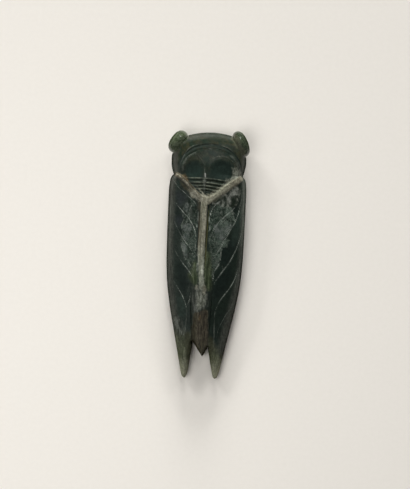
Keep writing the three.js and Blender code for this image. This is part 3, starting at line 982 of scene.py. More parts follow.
carve("ring_groove", [stroke(cross_line(*ring)) for ring in RINGS], 0.5, -0.2)
carve("ring_ridge", [stroke(cross_line(*ring), (0.4, 0.4)) for ring in RIDGES], 0.36, 0.1)
keel = [stroke([(-0.095, 36.4), (-0.095, 33), (-0.085, 28), (-0.075, 22.5)], (0.1, 0.3), 1.9)]
fork = [
    stroke([(-0.1, 34.5), (-0.15, 36.2), (-0.22, 37.6), (-0.34, 39.6)], (1, 0.1), 4, 0.55),
    stroke([(-0.085, 35.4), (-0.03, 37.4), (0.08, 39.2)], (0.5, 0.1), 4, 0.4),
]
carve("keel", keel, 0.8, 0.33, 0.3)
carve("fork", fork, 0.5, 0.22, 0.3)
BEADS = [(31.2, 0.55), (28.9, 1.0), (27.1, 0.8), (25.5, 0.65)]  # where each lies and how plump it is
BEAD_HALF = 0.35
beads = []
for station, plumpness in BEADS:
    line = [(-0.09, station + off) for off in (-BEAD_HALF, 0, BEAD_HALF)]
    beads.append(stroke(line, (0.8, 0.8), strength=plumpness))
carve("beads", beads, 1.6, 0.36, 0.1)
# a faint raised stroke on the crest of the keel, which the finish paints as a highlight
carve("keel_light", [stroke([(-0.08, 31.8), (-0.075, 31.0), (-0.07, 30.1)], (0.3, 0.4), 4, 0.8)], 0.5, 0.04)

# %% [markdown]
# ## The raised Y
#
# The arms of the Y start at the notches behind the cheeks and meet on the back, and the stem runs
# on towards the abdomen. It was left standing while the ground beside it was cut away, and the pale
# skin of the pebble shows on it.

# %% Carve the Y
LEFT_ARM = [(-0.87, 31.5), (-0.73, 30.4), (-0.57, 28.4), (-0.43, 26.2), (-0.27, 23.8), (-0.1, 21.3)]
RIGHT_ARM = [(0.84, 30.4), (0.72, 29.1), (0.57, 27.5), (0.42, 25.5), (0.27, 23.7), (0.12, 21.9), (0, 20.6)]
STEM = [
    (-0.07, 21.5), (-0.075, 17.5), (-0.08, 9.6), (-0.09, 5.6), (-0.1, 1.6), (-0.09, -2.4), (-0.07, -7.2),
    (-0.06, -12.6),
]

carve("left_arm", [stroke(LEFT_ARM, (1, 1))], 1.4, BAND_RISE, 0.6)
carve("right_arm", [stroke(RIGHT_ARM, (0.8, 1), 0.6, uneven=0.2)], 2.2, BAND_RISE, 0.5)
carve("stem", [stroke(STEM, (1.0, 0.55), 0.9, uneven=0.05)], 2.25, BAND_RISE, 0.62)
left_groove = [(-0.2, 19.8), (-0.19, 15.5), (-0.18, 10.3), (-0.18, 5.5), (-0.2, -1)]
right_groove = [(0.09, 20.3), (0.045, 15.6), (0.035, 11.6), (0.03, 7.6), (0.02, 1), (0.03, -6)]
carve("stem_groove", [stroke(left_groove, strength=0.8), stroke(right_groove)], 0.6, -0.14)
BRIGHT_EDGES = [
    [(-0.83, 31.5), (-0.7, 30.0), (-0.57, 28.2), (-0.46, 26.5), (-0.39, 25.3)],
    [(-0.28, 26.6), (-0.2, 25.2), (-0.1, 23.5), (-0.05, 22.3)],
    [(-0.39, 25.5), (-0.28, 23.8), (-0.19, 22.1)],
    [(0.6, 27.6), (0.46, 25.7), (0.34, 24.1), (0.2, 22.4), (0.07, 21.0)],
    [(-0.02, 21.0), (-0.035, 18.0), (-0.03, 14.0), (-0.05, 11.0), (-0.08, 7.0), (-0.09, 3.0),
     (-0.08, -2.0)],
]
carve("bright_edge", [stroke(line, (0.5, 0.4)) for line in BRIGHT_EDGES], 0.8, 0.05)

# %% [markdown]
# ## Veins, borders and streaks
#
# The veins of the wings are thin scratched lines that run from the outer margin in to the back.
# A deeper line on each side shows where the wing lies over the abdomen, and long shallow streaks
# follow the abdomen and the stem.

# %% Carve the veins
# the size at the start and at the end, how fast it grows between, and the line
VEINS = [
    (0.4, 0.4, 0.6, [(-0.9, 28.9), (-0.83, 27.6), (-0.77, 26.4), (-0.69, 25.2), (-0.59, 24.0), (-0.5, 22.7),
        (-0.42, 21.7), (-0.35, 20.8), (-0.29, 19.7), (-0.25, 18.2)]),
    (0.6, 0.5, 3, [(-0.22, 16.8), (-0.22, 15.0), (-0.22, 13.0), (-0.23, 11.0), (-0.25, 9.8)]),
    (0.2, 0.4, 4, [(-0.79, 19.8), (-0.72, 18.3), (-0.64, 17.0), (-0.56, 15.6), (-0.47, 14.3), (-0.41, 13.0),
        (-0.35, 11.6), (-0.3, 10.0), (-0.27, 8.6), (-0.25, 7.0), (-0.24, 5.5)]),
    (0.25, 0.6, 0.7, [(-0.87, 14.6), (-0.83, 13.0), (-0.77, 11.1), (-0.7, 9.1), (-0.63, 7.2), (-0.55, 5.4),
        (-0.47, 3.8), (-0.39, 2.4), (-0.34, 1.2)]),
    (0.3, 0.5, 3, [(-0.62, -2.6), (-0.54, -4.2), (-0.44, -5.9), (-0.36, -7.4), (-0.31, -8.8)]),
    (0.1, 0.15, 1.6, [(-0.78, -10.9), (-0.71, -12.4), (-0.62, -14.6), (-0.54, -16.5), (-0.48, -18.5),
        (-0.43, -20.4), (-0.4, -22.6), (-0.39, -25.0)]),
    (0.3, 0.4, 1.2, [(-0.31, -13.0), (-0.31, -15.0), (-0.33, -17.4), (-0.36, -19.2), (-0.39, -20.8)]),
    (0.4, 0.4, 4, [(0.41, 21.7), (0.32, 20.9), (0.24, 20.0), (0.18, 18.8), (0.13, 17.5), (0.1, 16.1),
        (0.08, 14.5), (0.08, 12.9), (0.09, 10.9), (0.1, 9.1)]),
    (0.3, 0.3, 4, [(0.81, 20.5), (0.72, 19.1), (0.64, 17.6), (0.54, 16.2), (0.44, 14.8), (0.35, 13.4),
        (0.28, 11.9), (0.22, 10.6), (0.18, 9.3), (0.14, 7.9), (0.1, 6.3), (0.07, 5.1)]),
    (0.3, 0.45, 2.4, [(0.9, 23.4), (0.87, 21.0), (0.84, 18.8), (0.81, 16.6), (0.77, 14.5), (0.72, 12.6),
        (0.65, 10.7), (0.58, 8.6), (0.51, 6.6), (0.45, 4.9), (0.41, 3.3), (0.34, 1.5), (0.26, -0.6),
        (0.21, -2.6)]),
    (0.6, 0.4, 3, [(0.39, -2.9), (0.34, -4.6), (0.28, -6.1), (0.24, -7.5), (0.24, -9.0), (0.23, -10.6)]),
    (0.35, 0.45, 2.4, [(0.93, 11.0), (0.9, 8.2), (0.85, 5.2), (0.8, 2.6), (0.74, 0.5), (0.68, -1.5),
        (0.61, -3.5), (0.52, -5.4), (0.44, -7.2), (0.37, -8.9), (0.3, -10.5), (0.26, -12.0)]),
    (0.25, 0.2, 2.0, [(0.9, -2.5), (0.87, -5.0), (0.84, -6.8), (0.8, -9.0), (0.74, -11.2), (0.66, -13.4),
        (0.58, -15.1), (0.49, -17.0), (0.42, -18.8), (0.37, -20.7), (0.33, -22.5), (0.32, -24.5)]),
    (0.2, 0.15, 0.9, [(0.82, -18.6), (0.75, -20.4), (0.67, -22.3), (0.6, -24.1), (0.53, -26.2),
        (0.47, -28.2), (0.42, -30.4), (0.4, -33.2)]),
    (0.6, 0.4, 1.2, [(0.63, 12.4), (0.6, 10.8), (0.54, 9.0), (0.48, 7.1)]),
    (0.4, 0.3, 0.8, [(0.58, 11.4), (0.52, 9.8), (0.46, 8.3)]),
]
carve("vein", [stroke(line, (start, end), rate) for start, end, rate, line in VEINS], 0.23, -0.1)

# %% [markdown]
# ## Scratches
#
# Between the veins the polish is full of finer lines: borders of the grey clouds, short scratches
# beside the Y, hair lines along the margins. They hardly cut the stone, but they show as light lines
# against it. Their strength is a share of that of the deepest.

# %% Scratch the fine lines
FINE_LINES = [
    (0.8, [(-0.37, 20.1), (-0.41, 18.1), (-0.45, 15.9), (-0.42, 13.7)]),
    (0.8, [(-0.54, 2.8), (-0.53, 1.3), (-0.52, -0.3)]),
    (0.5, [(-0.64, 4.0), (-0.57, 2.2)]),
    (0.7, [(-0.24, 5.4), (-0.25, 3.0), (-0.27, 1.0)]),
    (0.6, [(-0.33, 1.4), (-0.3, -0.6), (-0.29, -3.4), (-0.29, -6.6)]),
    (0.9, [(0.44, 22.1), (0.44, 20.7), (0.4, 19.5), (0.32, 18.5)]),
    (0.8, [(0.64, 17.0), (0.69, 15.5), (0.72, 14.1), (0.74, 12.7)]),
    (0.8, [(0.65, 17.6), (0.7, 16.7), (0.76, 15.9)]),
    (0.5, [(0.08, 37.6), (0.23, 38.7), (0.41, 38.8), (0.57, 37.5), (0.68, 35.2)]),
    (0.4, [(-0.59, 35.9), (-0.52, 37.8), (-0.39, 39.1), (-0.24, 39.6)]),
    (0.6, [(0.25, 9.0), (0.34, 7.8), (0.42, 7.1), (0.51, 7.8)]),
    (0.7, [(0.16, 8.7), (0.2, 7.3), (0.24, 5.8)]),
    (0.8, [(0.05, 14.8), (0.11, 14.2), (0.17, 13.2)]),
    (1.1, [(0.42, 2.9), (0.41, 0.9), (0.4, -1.1), (0.39, -2.9)]),
    (0.6, [(0.45, -4.1), (0.49, -5.8)]),
    (0.6, [(0.89, 25.4), (0.88, 22.6), (0.84, 20.0), (0.76, 18.1)]),
    (0.8, [(0.92, 25.4), (0.94, 20.2), (0.94, 15.0), (0.95, 9.5), (0.94, 3.9)]),
    (0.5, [(0.94, 2.3), (0.92, -4.9), (0.89, -12.9)]),
    (0.35, [(0.92, 7.1), (0.93, 0.3), (0.89, -7.7), (0.85, -14.6)]),
    (0.35, [(0.87, -2.6), (0.84, -9.8), (0.78, -15.8)]),
    (0.3, [(-0.94, 24.9), (-0.93, 15.0), (-0.9, 3.0), (-0.83, -8.9)]),
    (0.9, [(-0.53, -1.3), (-0.45, -2.9), (-0.37, -4.2), (-0.32, -5.8)]),
    (0.8, [(-0.62, 4.0), (-0.58, 1.6), (-0.52, -0.7)]),
    (0.45, [(-0.79, 1.9), (-0.72, -0.3), (-0.62, -2.6)]),
    (0.6, [(-0.45, -3.5), (-0.37, -5.6)]),
    (0.9, [(-0.18, -3.3), (-0.19, -5.3), (-0.18, -7.3)]),
    (0.6, [(-0.52, 11.4), (-0.47, 14.1), (-0.49, 12.5)]),
    (0.8, [(-0.4, -23.0), (-0.4, -25.8), (-0.41, -28.6), (-0.42, -31.8)]),
    (0.65, [(0.32, -23.3), (0.32, -26.1), (0.32, -29.3), (0.33, -32.5), (0.33, -35.7)]),
    (0.5, [(-0.54, -26.7), (-0.48, -29.4), (-0.44, -31.8)]),
    (0.4, [(-0.66, -28.4), (-0.63, -31.1)]),
    (0.6, [(-0.58, 19.6), (-0.61, 16.4), (-0.59, 13.2), (-0.62, 10.4), (-0.56, 6.8)]),
    (0.6, [(-0.53, 6.4), (-0.59, 4.0), (-0.52, -1.1), (-0.42, -3.5)]),
    (0.4, [(0.18, 1.7), (0.17, -3.1), (0.13, -8.3)]),
    (0.35, [(-0.35, -12.2), (-0.41, -15.4)]),
    (0.5, [(-0.66, 33.9), (-0.62, 36.7), (-0.49, 38.8), (-0.34, 40.1), (-0.24, 40.8)]),
    (0.4, [(-0.04, 41.7), (0.17, 41.5), (0.32, 41.1)]),
    (0.5, [(0.59, 37.6), (0.69, 36.0), (0.77, 34.5)]),
    (0.25, [(-0.33, 39.5), (-0.21, 37.4), (-0.12, 34.7), (-0.09, 32.7)]),
    (0.8, [(-0.16, -2.5), (-0.16, -4.9), (-0.17, -7.3)]),
    (0.7, [(-0.06, 0.8), (-0.04, -3.2), (-0.04, -7.3), (-0.03, -12.1)]),
    (0.7, [(-0.14, -14.6), (-0.14, -18.6), (-0.14, -21.8)]),
    (0.6, [(-0.06, -14.1), (-0.05, -18.5), (-0.04, -21.3)]),
    (0.5, [(0.08, -16.4), (0.08, -20.0)]),
]
scratches = [stroke(line, (0.4, 0.3), 3, strength, 0.25) for strength, line in FINE_LINES]
carve("scratch", scratches, 0.34, -0.04)

# %% Carve the borders and the streaks
DARK_STREAKS = [
    [(-0.04, -23.6), (-0.02, -28.3), (-0.01, -32.3)],
    [(-0.22, -27.0), (-0.2, -31.2), (-0.19, -35.0)],
]


def beside_spine(share, stations_along):
    """Places that keep their share of the way from the spine to the inner lines."""
    return [(float(spine(s) + share * inner_width(s)), s) for s in stations_along]


def streaks(shares, start, end):
    return [stroke(beside_spine(share, np.linspace(start, end, 6)), (0.1, 0.1), 4) for share in shares]


borders = []
for side in (-1, 1):
    last = CROTCH - side * CROTCH_SLANT + 1.2
    borders.append(stroke(beside_spine(side, (-8.5, -14, -20, -28, last)), (0.1, 0.35)))
carve("border", borders, 0.55, -0.28)
carve("streak", streaks((-0.72, -0.45, -0.12, 0.2, 0.52, 0.8), -11, -35), 0.5, -0.07)
carve("stem_streak", streaks((-0.35, 0.3), 20, -10), 0.35, -0.06)
carve("tan_streak", [stroke([(-0.13, -22.6), (-0.11, -25.5), (-0.1, -28.4), (-0.07, -36.3)])], 0.55, 0.04)
carve("dark_streak", [stroke(line) for line in DARK_STREAKS], 0.5, -0.06)

# %% [markdown]
# ## Under the belly
#
# Nobody sees the underside in the photograph. Such amulets have it flat, with a few plain cuts for
# the rings of the abdomen, the folded legs and the beak, so it gets those and nothing more.

# %% Carve the underside
BELLY_RINGS = (10, 2, -6, -14, -22, -30)
LINE_BESIDE_RINGS = [(0.36, 17), (0.33, 0), (0.29, -18), (0.25, -34)]
BEAK = [(0.22, 45), (0.12, 41), (0.03, 36)]
LEG_ENDS = ((38, 32), (33, 27), (28, 21))
LEGS = [[(0.12, top), (0.42, (top + foot) / 2 + 1.5), (0.6, foot)] for top, foot in LEG_ENDS]

belly_lines = []
for station in BELLY_RINGS:
    reach = 0.9 * float(inner_width(min(station, -13)))
    belly_lines.append(stroke([(-reach, station + 1), (0, station), (reach, station + 1)]))
for side in (-1, 1):
    for line in (LINE_BESIDE_RINGS, BEAK, *LEGS):
        belly_lines.append(stroke([(side * x, station) for x, station in line]))
carve("belly_cut", belly_lines, 0.8, 0.35, where="under")

# %% Settle the carving
stone = settled(body, *line_helpers)
points = places(stone)
print("carved:", len(stone.vertices), "points, open edges and volume:", open_edges(stone))
print("highest point:", points[:, 2].max(), "lowest:", points[:, 2].min())

# %% [markdown]
# ## The colours of the pebble
#
# The stone isn't one green. Grey clouds lie beside the stem, the skin of the pebble left tan and
# ash-coloured patches, and the abdomen is brown. Each kind of patch has a closed outline on the
# back. What is stored isn't a picture but one number: how far inside or outside the patch a point
# lies. The finish then breaks up that edge with a fine noise, which keeps it crisp at any size.

# %% Outline the patches
PATCHES = {
    "cloud": [
        [(0.4, 5.9), (0.53, 6.8), (0.61, 5.6), (0.59, 3.6), (0.46, 3.1)],
        [(-0.4, 21.8), (-0.53, 20.1), (-0.57, 16.9), (-0.58, 13.6), (-0.63, 10.8), (-0.57, 8.0),
         (-0.64, 4.8), (-0.6, 1.6), (-0.54, -1.2), (-0.46, -3.9), (-0.37, -6.7), (-0.29, -9.0),
         (-0.2, -7.4), (-0.21, -0.5), (-0.22, 7.5), (-0.22, 14.3), (-0.27, 19.5)],
        [(0.07, 18.5), (0.22, 21.4), (0.37, 22.7), (0.53, 23.7), (0.63, 22.5), (0.64, 19.4), (0.69, 16.2),
         (0.71, 13.0), (0.64, 10.1), (0.57, 7.6), (0.45, 5.5), (0.41, 1.9), (0.37, -2.6), (0.27, -5.8),
         (0.21, -9.1), (0.14, -4.7), (0.1, 1.7), (0.06, 9.7)],
    ],
    "pale_cloud": [
        [(-0.57, 11.2), (-0.51, 11.7), (-0.43, 11.9), (-0.36, 10.8), (-0.39, 8.9), (-0.48, 8.5),
         (-0.56, 9.0), (-0.6, 10.0)],
        [(-0.56, 7.6), (-0.46, 8.3), (-0.4, 6.9), (-0.44, 5.3), (-0.53, 5.1), (-0.58, 6.4)],
        [(-0.57, 19.6), (-0.49, 20.2), (-0.46, 17.7), (-0.52, 16.2), (-0.57, 17.6)],
        [(-0.61, 4.0), (-0.53, 3.8), (-0.46, 0.9), (-0.47, -1.9), (-0.55, 0.4)],
        [(0.46, 10.3), (0.55, 12.0), (0.64, 12.7), (0.67, 11.7), (0.58, 8.8), (0.51, 6.8), (0.44, 5.5),
         (0.4, 6.9)],
        [(0.2, 11.3), (0.33, 12.2), (0.44, 9.9), (0.47, 7.1), (0.35, 5.5), (0.25, 7.4)],
    ],
    "deep": [
        [(-0.71, -3.7), (-0.52, -4.7), (-0.44, -7.9), (-0.4, -12.2), (-0.52, -15.5), (-0.66, -10.8)],
        [(-0.79, 17.8), (-0.69, 17.1), (-0.59, 14.8), (-0.58, 12.4), (-0.67, 10.7), (-0.77, 13.1)],
        [(-0.72, 9.9), (-0.61, 9.2), (-0.61, 6.8), (-0.69, 7.5)],
        [(0.4, 5.1), (0.58, 6.4), (0.76, 6.1), (0.81, 3.0), (0.75, -1.0), (0.58, -4.8), (0.4, -3.3),
         (0.37, -0.1)],
        [(0.49, -6.0), (0.64, -4.3), (0.7, -7.5), (0.59, -13.9), (0.39, -17.3), (0.29, -18.1),
         (0.26, -13.4), (0.34, -8.9)],
        [(0.7, 20.5), (0.8, 19.5), (0.81, 15.5), (0.76, 13.5), (0.73, 16.5), (0.67, 18.5)],
        [(0.61, 20.8), (0.69, 21.7), (0.73, 19.7), (0.66, 17.6), (0.62, 18.8)],
        [(-0.39, 19.3), (-0.28, 19.4), (-0.23, 15.8), (-0.25, 11.8), (-0.31, 12.6), (-0.38, 16.1)],
        [(0.0, -3.6), (0.05, -3.6), (0.08, -6.9), (0.01, -7.3)],
    ],
    "slate": [
        [(-0.79, 24.2), (-0.6, 23.6), (-0.55, 21.2), (-0.67, 18.7), (-0.77, 20.2)],
        [(-0.81, 14.6), (-0.63, 14.4), (-0.57, 12.4), (-0.67, 10.7), (-0.78, 11.9)],
    ],
    "tip_shade": [
        [(-0.41, -32.2), (-0.3, -31.5), (-0.27, -35.3), (-0.29, -39.3), (-0.34, -42.5), (-0.39, -37.8)],
        [(0.19, -33.0), (0.29, -33.3), (0.33, -36.1), (0.33, -38.5), (0.27, -39.7), (0.22, -37.3)],
    ],
    "teal": [
        [(-0.88, 29.0), (-0.78, 29.4), (-0.69, 27.5), (-0.71, 25.9), (-0.82, 26.6)],
        [(-0.69, -17.2), (-0.51, -17.5), (-0.44, -21.0), (-0.46, -25.0), (-0.59, -25.1), (-0.68, -21.2)],
        [(0.72, 15.7), (0.88, 16.6), (0.9, 11.0), (0.84, 6.2), (0.71, 3.7), (0.68, 7.7)],
    ],
    "frost": [
        [(0.12, 22.1), (0.37, 24.2), (0.62, 26.8), (0.78, 27.3), (0.83, 25.4), (0.82, 22.1), (0.75, 19.7),
         (0.57, 18.8), (0.34, 19.4), (0.13, 19.7)],
    ],
    "bright_frost": [
        [(0.58, 24.8), (0.67, 26.6), (0.76, 27.3), (0.79, 25.5), (0.72, 23.7), (0.62, 22.6), (0.64, 20.8),
         (0.58, 20.0), (0.51, 21.7), (0.47, 23.2), (0.54, 24.0)],
        [(0.23, 20.3), (0.3, 21.2), (0.34, 20.8), (0.27, 19.8)],
    ],
    "dark_frost": [
        [(0.63, 23.4), (0.73, 23.7), (0.76, 22.5), (0.72, 21.3), (0.7, 19.3), (0.62, 18.8), (0.61, 22.0)],
        [(0.15, 21.7), (0.27, 22.8), (0.43, 23.1), (0.46, 22.3), (0.33, 21.4), (0.23, 20.3), (0.15, 20.1)],
        [(0.46, 25.5), (0.5, 25.4), (0.5, 24.6), (0.46, 24.6)],
        [(0.53, 24.4), (0.56, 24.6), (0.55, 23.1), (0.51, 23.0)],
        [(0.57, 26.1), (0.61, 26.9), (0.62, 26.2), (0.59, 25.2), (0.56, 25.2)],
        [(0.72, 27.9), (0.79, 28.5), (0.82, 27.7), (0.77, 27.2)],
    ],
    "ash": [
        [(0.59, 34.6), (0.64, 33.8), (0.67, 34.7), (0.73, 34.5), (0.8, 33.5), (0.85, 32.3), (0.87, 31.0),
         (0.77, 29.7), (0.59, 28.0), (0.42, 26.3), (0.27, 24.8), (0.34, 26.8), (0.43, 28.3), (0.46, 29.4),
         (0.54, 29.9), (0.6, 30.8), (0.63, 32.0), (0.62, 33.3)],
        [(-0.16, -14.9), (-0.06, -13.8), (0.05, -14.5), (0.07, -17.5), (0.05, -19.5), (-0.01, -21.1),
         (-0.09, -21.8), (-0.16, -20.4), (-0.16, -17.6)],
    ],
    "smoke": [
        [(-0.28, -14.5), (-0.24, -13.1), (-0.14, -13.4), (0.07, -14.3), (0.13, -17.4), (0.11, -20.3),
         (-0.01, -22.7), (-0.11, -23.8), (-0.21, -23.7), (-0.26, -20.5)],
        [(-0.73, -26.4), (-0.62, -25.7), (-0.51, -27.1), (-0.44, -29.4), (-0.41, -32.2), (-0.49, -33.2),
         (-0.62, -32.3), (-0.69, -30.0)],
    ],
    "crust": [
        [(-0.05, 22.5), (0.09, 24.4), (0.29, 26.6), (0.49, 28.7), (0.66, 30.2), (0.79, 31.1), (0.86, 30.6),
         (0.8, 28.5), (0.62, 26.4), (0.45, 24.2), (0.25, 21.8), (0.05, 20.2)],
    ],
    "chalk": [
        [(-0.47, 25.1), (-0.4, 25.3), (-0.31, 24.8), (-0.22, 23.9), (-0.11, 23.3), (0.04, 23.2),
         (0.14, 23.7), (0.17, 22.7), (0.07, 21.0), (0.0, 20.2), (-0.16, 20.5), (-0.26, 21.2), (-0.37, 21.9),
         (-0.45, 22.9), (-0.48, 24.2)],
        [(-0.01, -12.6), (0.04, -12.5), (0.06, -14.8), (0.0, -15.4), (-0.02, -14.4)],
        [(-0.2, -12.7), (-0.15, -12.5), (-0.14, -13.6), (-0.19, -13.7)],
    ],
    "strip": [
        [(-0.16, 4.3), (-0.02, 4.4), (-0.02, -1.6), (-0.02, -6.4), (0.01, -11.1), (0.04, -13.1),
         (0.0, -14.2), (-0.11, -13.5), (-0.13, -10.8), (-0.14, -7.3), (-0.17, -3.3), (-0.17, 0.7)],
    ],
    "tan": [
        [(0.54, 46.9), (0.66, 47.8), (0.77, 45.9), (0.81, 43.5), (0.94, 41.6), (0.87, 39.9), (0.71, 42.2),
         (0.6, 44.6)],
    ],
    "ochre": [
        [(-0.65, 31.0), (-0.57, 30.8), (-0.51, 29.6), (-0.49, 28.6), (-0.54, 28.8), (-0.61, 29.7)],
        [(-0.08, -24.6), (-0.04, -24.4), (-0.03, -26.0), (-0.07, -26.2)],
    ],
    "umber": [
        [(-0.69, 28.3), (-0.62, 27.5), (-0.51, 26.0), (-0.43, 24.9), (-0.45, 24.3), (-0.56, 25.4),
         (-0.66, 26.7)],
        [(-0.22, 21.5), (-0.16, 21.0), (-0.15, 18.0), (-0.19, 17.0), (-0.22, 19.0)],
    ],
    "olive": [
        [(-0.4, -8.0), (-0.34, -7.0), (-0.31, -3.4), (-0.21, -2.9), (-0.17, -6.5), (-0.16, -10.9),
         (-0.23, -12.5), (-0.31, -11.2), (-0.37, -9.6)],
        [(-0.02, -1.2), (0.1, 0.9), (0.17, -3.1), (0.2, -8.2), (0.2, -12.6), (0.12, -14.7), (0.04, -13.1),
         (0.0, -8.8)],
    ],
    "brown": [
        [(-0.24, -25.7), (-0.19, -23.3), (-0.06, -22.8), (0.04, -21.9), (0.14, -23.0), (0.16, -28.2),
         (0.19, -36.2), (0.09, -39.0), (0.05, -42.5), (-0.04, -38.7), (-0.26, -36.0), (-0.25, -30.5)],
    ],
}

print("kinds of patch:", len(PATCHES))

# %% Find how deep each point lies in a patch
def inside(points, line):
    """Whether each point lies inside a closed line, by counting the times that it is crossed."""
    x, y = points[:, :1], points[:, 1:2]
    (ax, ay), (bx, by) = line.T, np.roll(line, -1, axis=0).T
    spans = (ay > y) != (by > y)
    meets = ax + (y - ay) * (bx - ax) / np.where(by == ay, 1e-9, by - ay)
    return (spans & (x < meets)).sum(axis=1) % 2 == 1


def patch_depth(outlines):
    """How far each point lies inside the nearest patch, in millimetres; outside is negative."""
    depth = np.full(len(points), -float(FAR_FROM_EDGE))
    for places_on_back in outlines:
        line = smooth_line(places_on_back, 0.5, closed=True)
        reach = nearest(points[:, :2], line, np.roll(line, -1, axis=0))
        depth = np.maximum(depth, np.where(inside(points[:, :2], line), reach, -reach))
    return np.where(on_top, depth, -FAR_FROM_EDGE)


on_top = above_rim(points, 0.3)
for name, outlines in PATCHES.items():
    store(name, patch_depth(outlines))
x, y = points[:, 0], points[:, 1]
# where the painted shade of the lobes' hollows lies
SHADED_LOBES = [((-0.37, 32.3), (0.27, 4.6)), ((0.33, 32.9), (0.35, 5.0))]
store("hollow", np.where(on_top, lobe_share(x, y, SHADED_LOBES, 1.15, 0.6), 0))
store("disc", np.where(on_top, ellipse_share(x, y, SHOULDER_CENTRE, COLLAR_REACH), FAR_FROM_EDGE))
print("facts stored at each point:", len(stone.attributes))

# %% [markdown]
# ## The finish of the stone
#
# The stone's ground is a nearly black green, with dim clouds in it. Over that come the patches,
# each with an edge that a noise breaks up, then the light lines of the carving: dust and wear have
# settled in the cut ones, and the raised ones get painted highlights. Along the rim the stone is
# painted lighter, a painted sheen, with a painted dark outline at the very edge. Everything is
# worked out from the place on the stone, in millimetres, so it stays where it is when the object is
# turned. Nearly all of the colours are dark, so they are written in thousandths of full light.

# %% Write the colours as expressions
jade.use_nodes = True
finish = jade.node_tree
finish.nodes.clear()
in_mm = add_node(finish, "ShaderNodeTexCoord").out("Object") * (1 / MM)


def noise(scale, detail=3.0, roughness=0.5, shift=0.0, stretch=(1.0, 1.0, 1.0), distortion=0.0):
    """A noise between 0 and 1, with the scale in waves per millimetre."""
    values = {
        "Vector": in_mm * stretch + (shift, shift * 0.7, shift * 1.3),
        "Scale": scale,
        "Detail": detail,
        "Roughness": roughness,
        "Distortion": distortion,
    }
    return add_node(finish, "ShaderNodeTexNoise", None, values)


def mark(name):
    return add_node(finish, "ShaderNodeAttribute", {"attribute_name": name}).out("Fac")


def soft(value, start, end):
    """0 before the start and 1 past the end, with a smooth step between."""
    values = {"Value": value, "From Min": start, "From Max": end}
    return add_node(finish, "ShaderNodeMapRange", {"interpolation_type": "SMOOTHSTEP"}, values)


def until(value, start, end):
    """1 before the start and 0 past the end."""
    return 1 - soft(value, start, end)


def tint(colour):
    """A colour written in thousandths of full light; one from nodes stays as it is."""
    return colour if isinstance(colour, Wire) else [value / 1000 for value in colour]


def blend(base, over, share):
    """A colour laid over another by a share."""
    values = {"Factor_Float": share, "A_Color": tint(base), "B_Color": tint(over)}
    return add_node(finish, "ShaderNodeMix", {"data_type": "RGBA"}, values)


def layered(colour, *layers):
    """A colour with others laid over it in turn, each with its share."""
    for over, share in layers:
        colour = blend(colour, over, share)
    return colour


def two_tone(dark, light, pattern, start, end):
    """A dark colour that turns into a light one where the pattern rises."""
    return blend(dark, light, soft(pattern, start, end))


def web(scale, shift, thickness):
    """Thin crooked lines: the places where a noise passes through its middle value."""
    off = noise(scale, 3, 0.6, shift, distortion=0.7) - 0.5
    return until(off.worked("ABSOLUTE", off), 0.0, thickness)


# %% Set out the patterns of the stone
ragged = noise(1.3, 4, 0.6) - 0.5
speckle = noise(3.2, 3, 0.6, 7.0)
mottle = noise(0.55, 5, 0.66, 11.0, distortion=0.8)
drift = noise(0.22, 3, 0.5, 3.0)
lengthwise = noise(1.7, 3, 0.6, 5.0, stretch=(1.0, 0.13, 1.0))
strands = soft(noise(3.4, 2, 0.6, 71.0, stretch=(1.0, 0.06, 1.0)), 0.4, 0.6)
grain = noise(1.25, 3, 0.62, 67.0, stretch=(1.0, 0.7, 1.0), distortion=0.5)
clouding = noise(0.32, 4, 0.6, 61.0, distortion=0.6)
crumbs = soft(grain, 0.4, 0.6)
rime = noise(0.75, 4, 0.66, 19.0, stretch=(1.0, 0.6, 1.0), distortion=1.0)
print("nodes for the patterns:", len(finish.nodes))

# %% Find the parts of the stone
def patch(name, softness=0.2, raggedness=2.6, worn=0.0):
    """The share of a patch, whose edge a noise breaks up; a worn patch has holes too."""
    return soft(mark(name) + ragged * raggedness + (mottle - 0.5) * worn, -softness, softness)


split = add_node(finish, "ShaderNodeSeparateXYZ", None, {"Vector": in_mm})
x_mm, y_mm = split.out("X"), split.out("Y")  # from the middle, to the right and towards the head
toward_right = soft(x_mm, -4.0, 3.0)
toward_head = soft(y_mm, 20.5, 23.5)
toward_tail = until(y_mm, -22.0, 4.0)
disc, edge, on_eye = mark("disc"), mark("inset"), mark("on_eye")
off_eye = 1 - on_eye
print("nodes with the parts:", len(finish.nodes))

# %% Mix the ground of the stone
ground = layered(
    blend((17, 24, 19), (10, 17, 12), toward_right),
    (blend((23, 30, 25), (15, 23, 18), toward_right), soft(drift, 0.45, 0.65) * 0.7),
    ((6, 10, 8), soft(mottle, 0.52, 0.66) * 0.6),
    ((6, 11, 9), patch("deep", 0.9, 1.4) * 0.75),
    ((26, 31, 33), patch("slate", 1.0, 1.6) * 0.6),
    ((21, 33, 26), patch("teal", 0.9, 1.6) * 0.75),
)

collar_stone = layered(
    two_tone((10, 18, 11), (24, 25, 12), mottle, 0.42, 0.6),
    ((21, 24, 17), soft(clouding, 0.48, 0.64) * 0.7),
)
disc_stone = layered(
    two_tone((8, 15, 10), (18, 21, 13), mottle, 0.42, 0.6),
    ((20, 23, 17), soft(clouding, 0.5, 0.66) * 0.6),
)
ground = layered(
    ground,
    (collar_stone, soft(disc, 1.0, 1.08) * toward_head),
    (disc_stone, until(disc, 0.9, 0.98) * toward_head),
    # painted shade: the hollows of the two lobes are painted darker
    ((10, 18, 14), mark("hollow")),
)

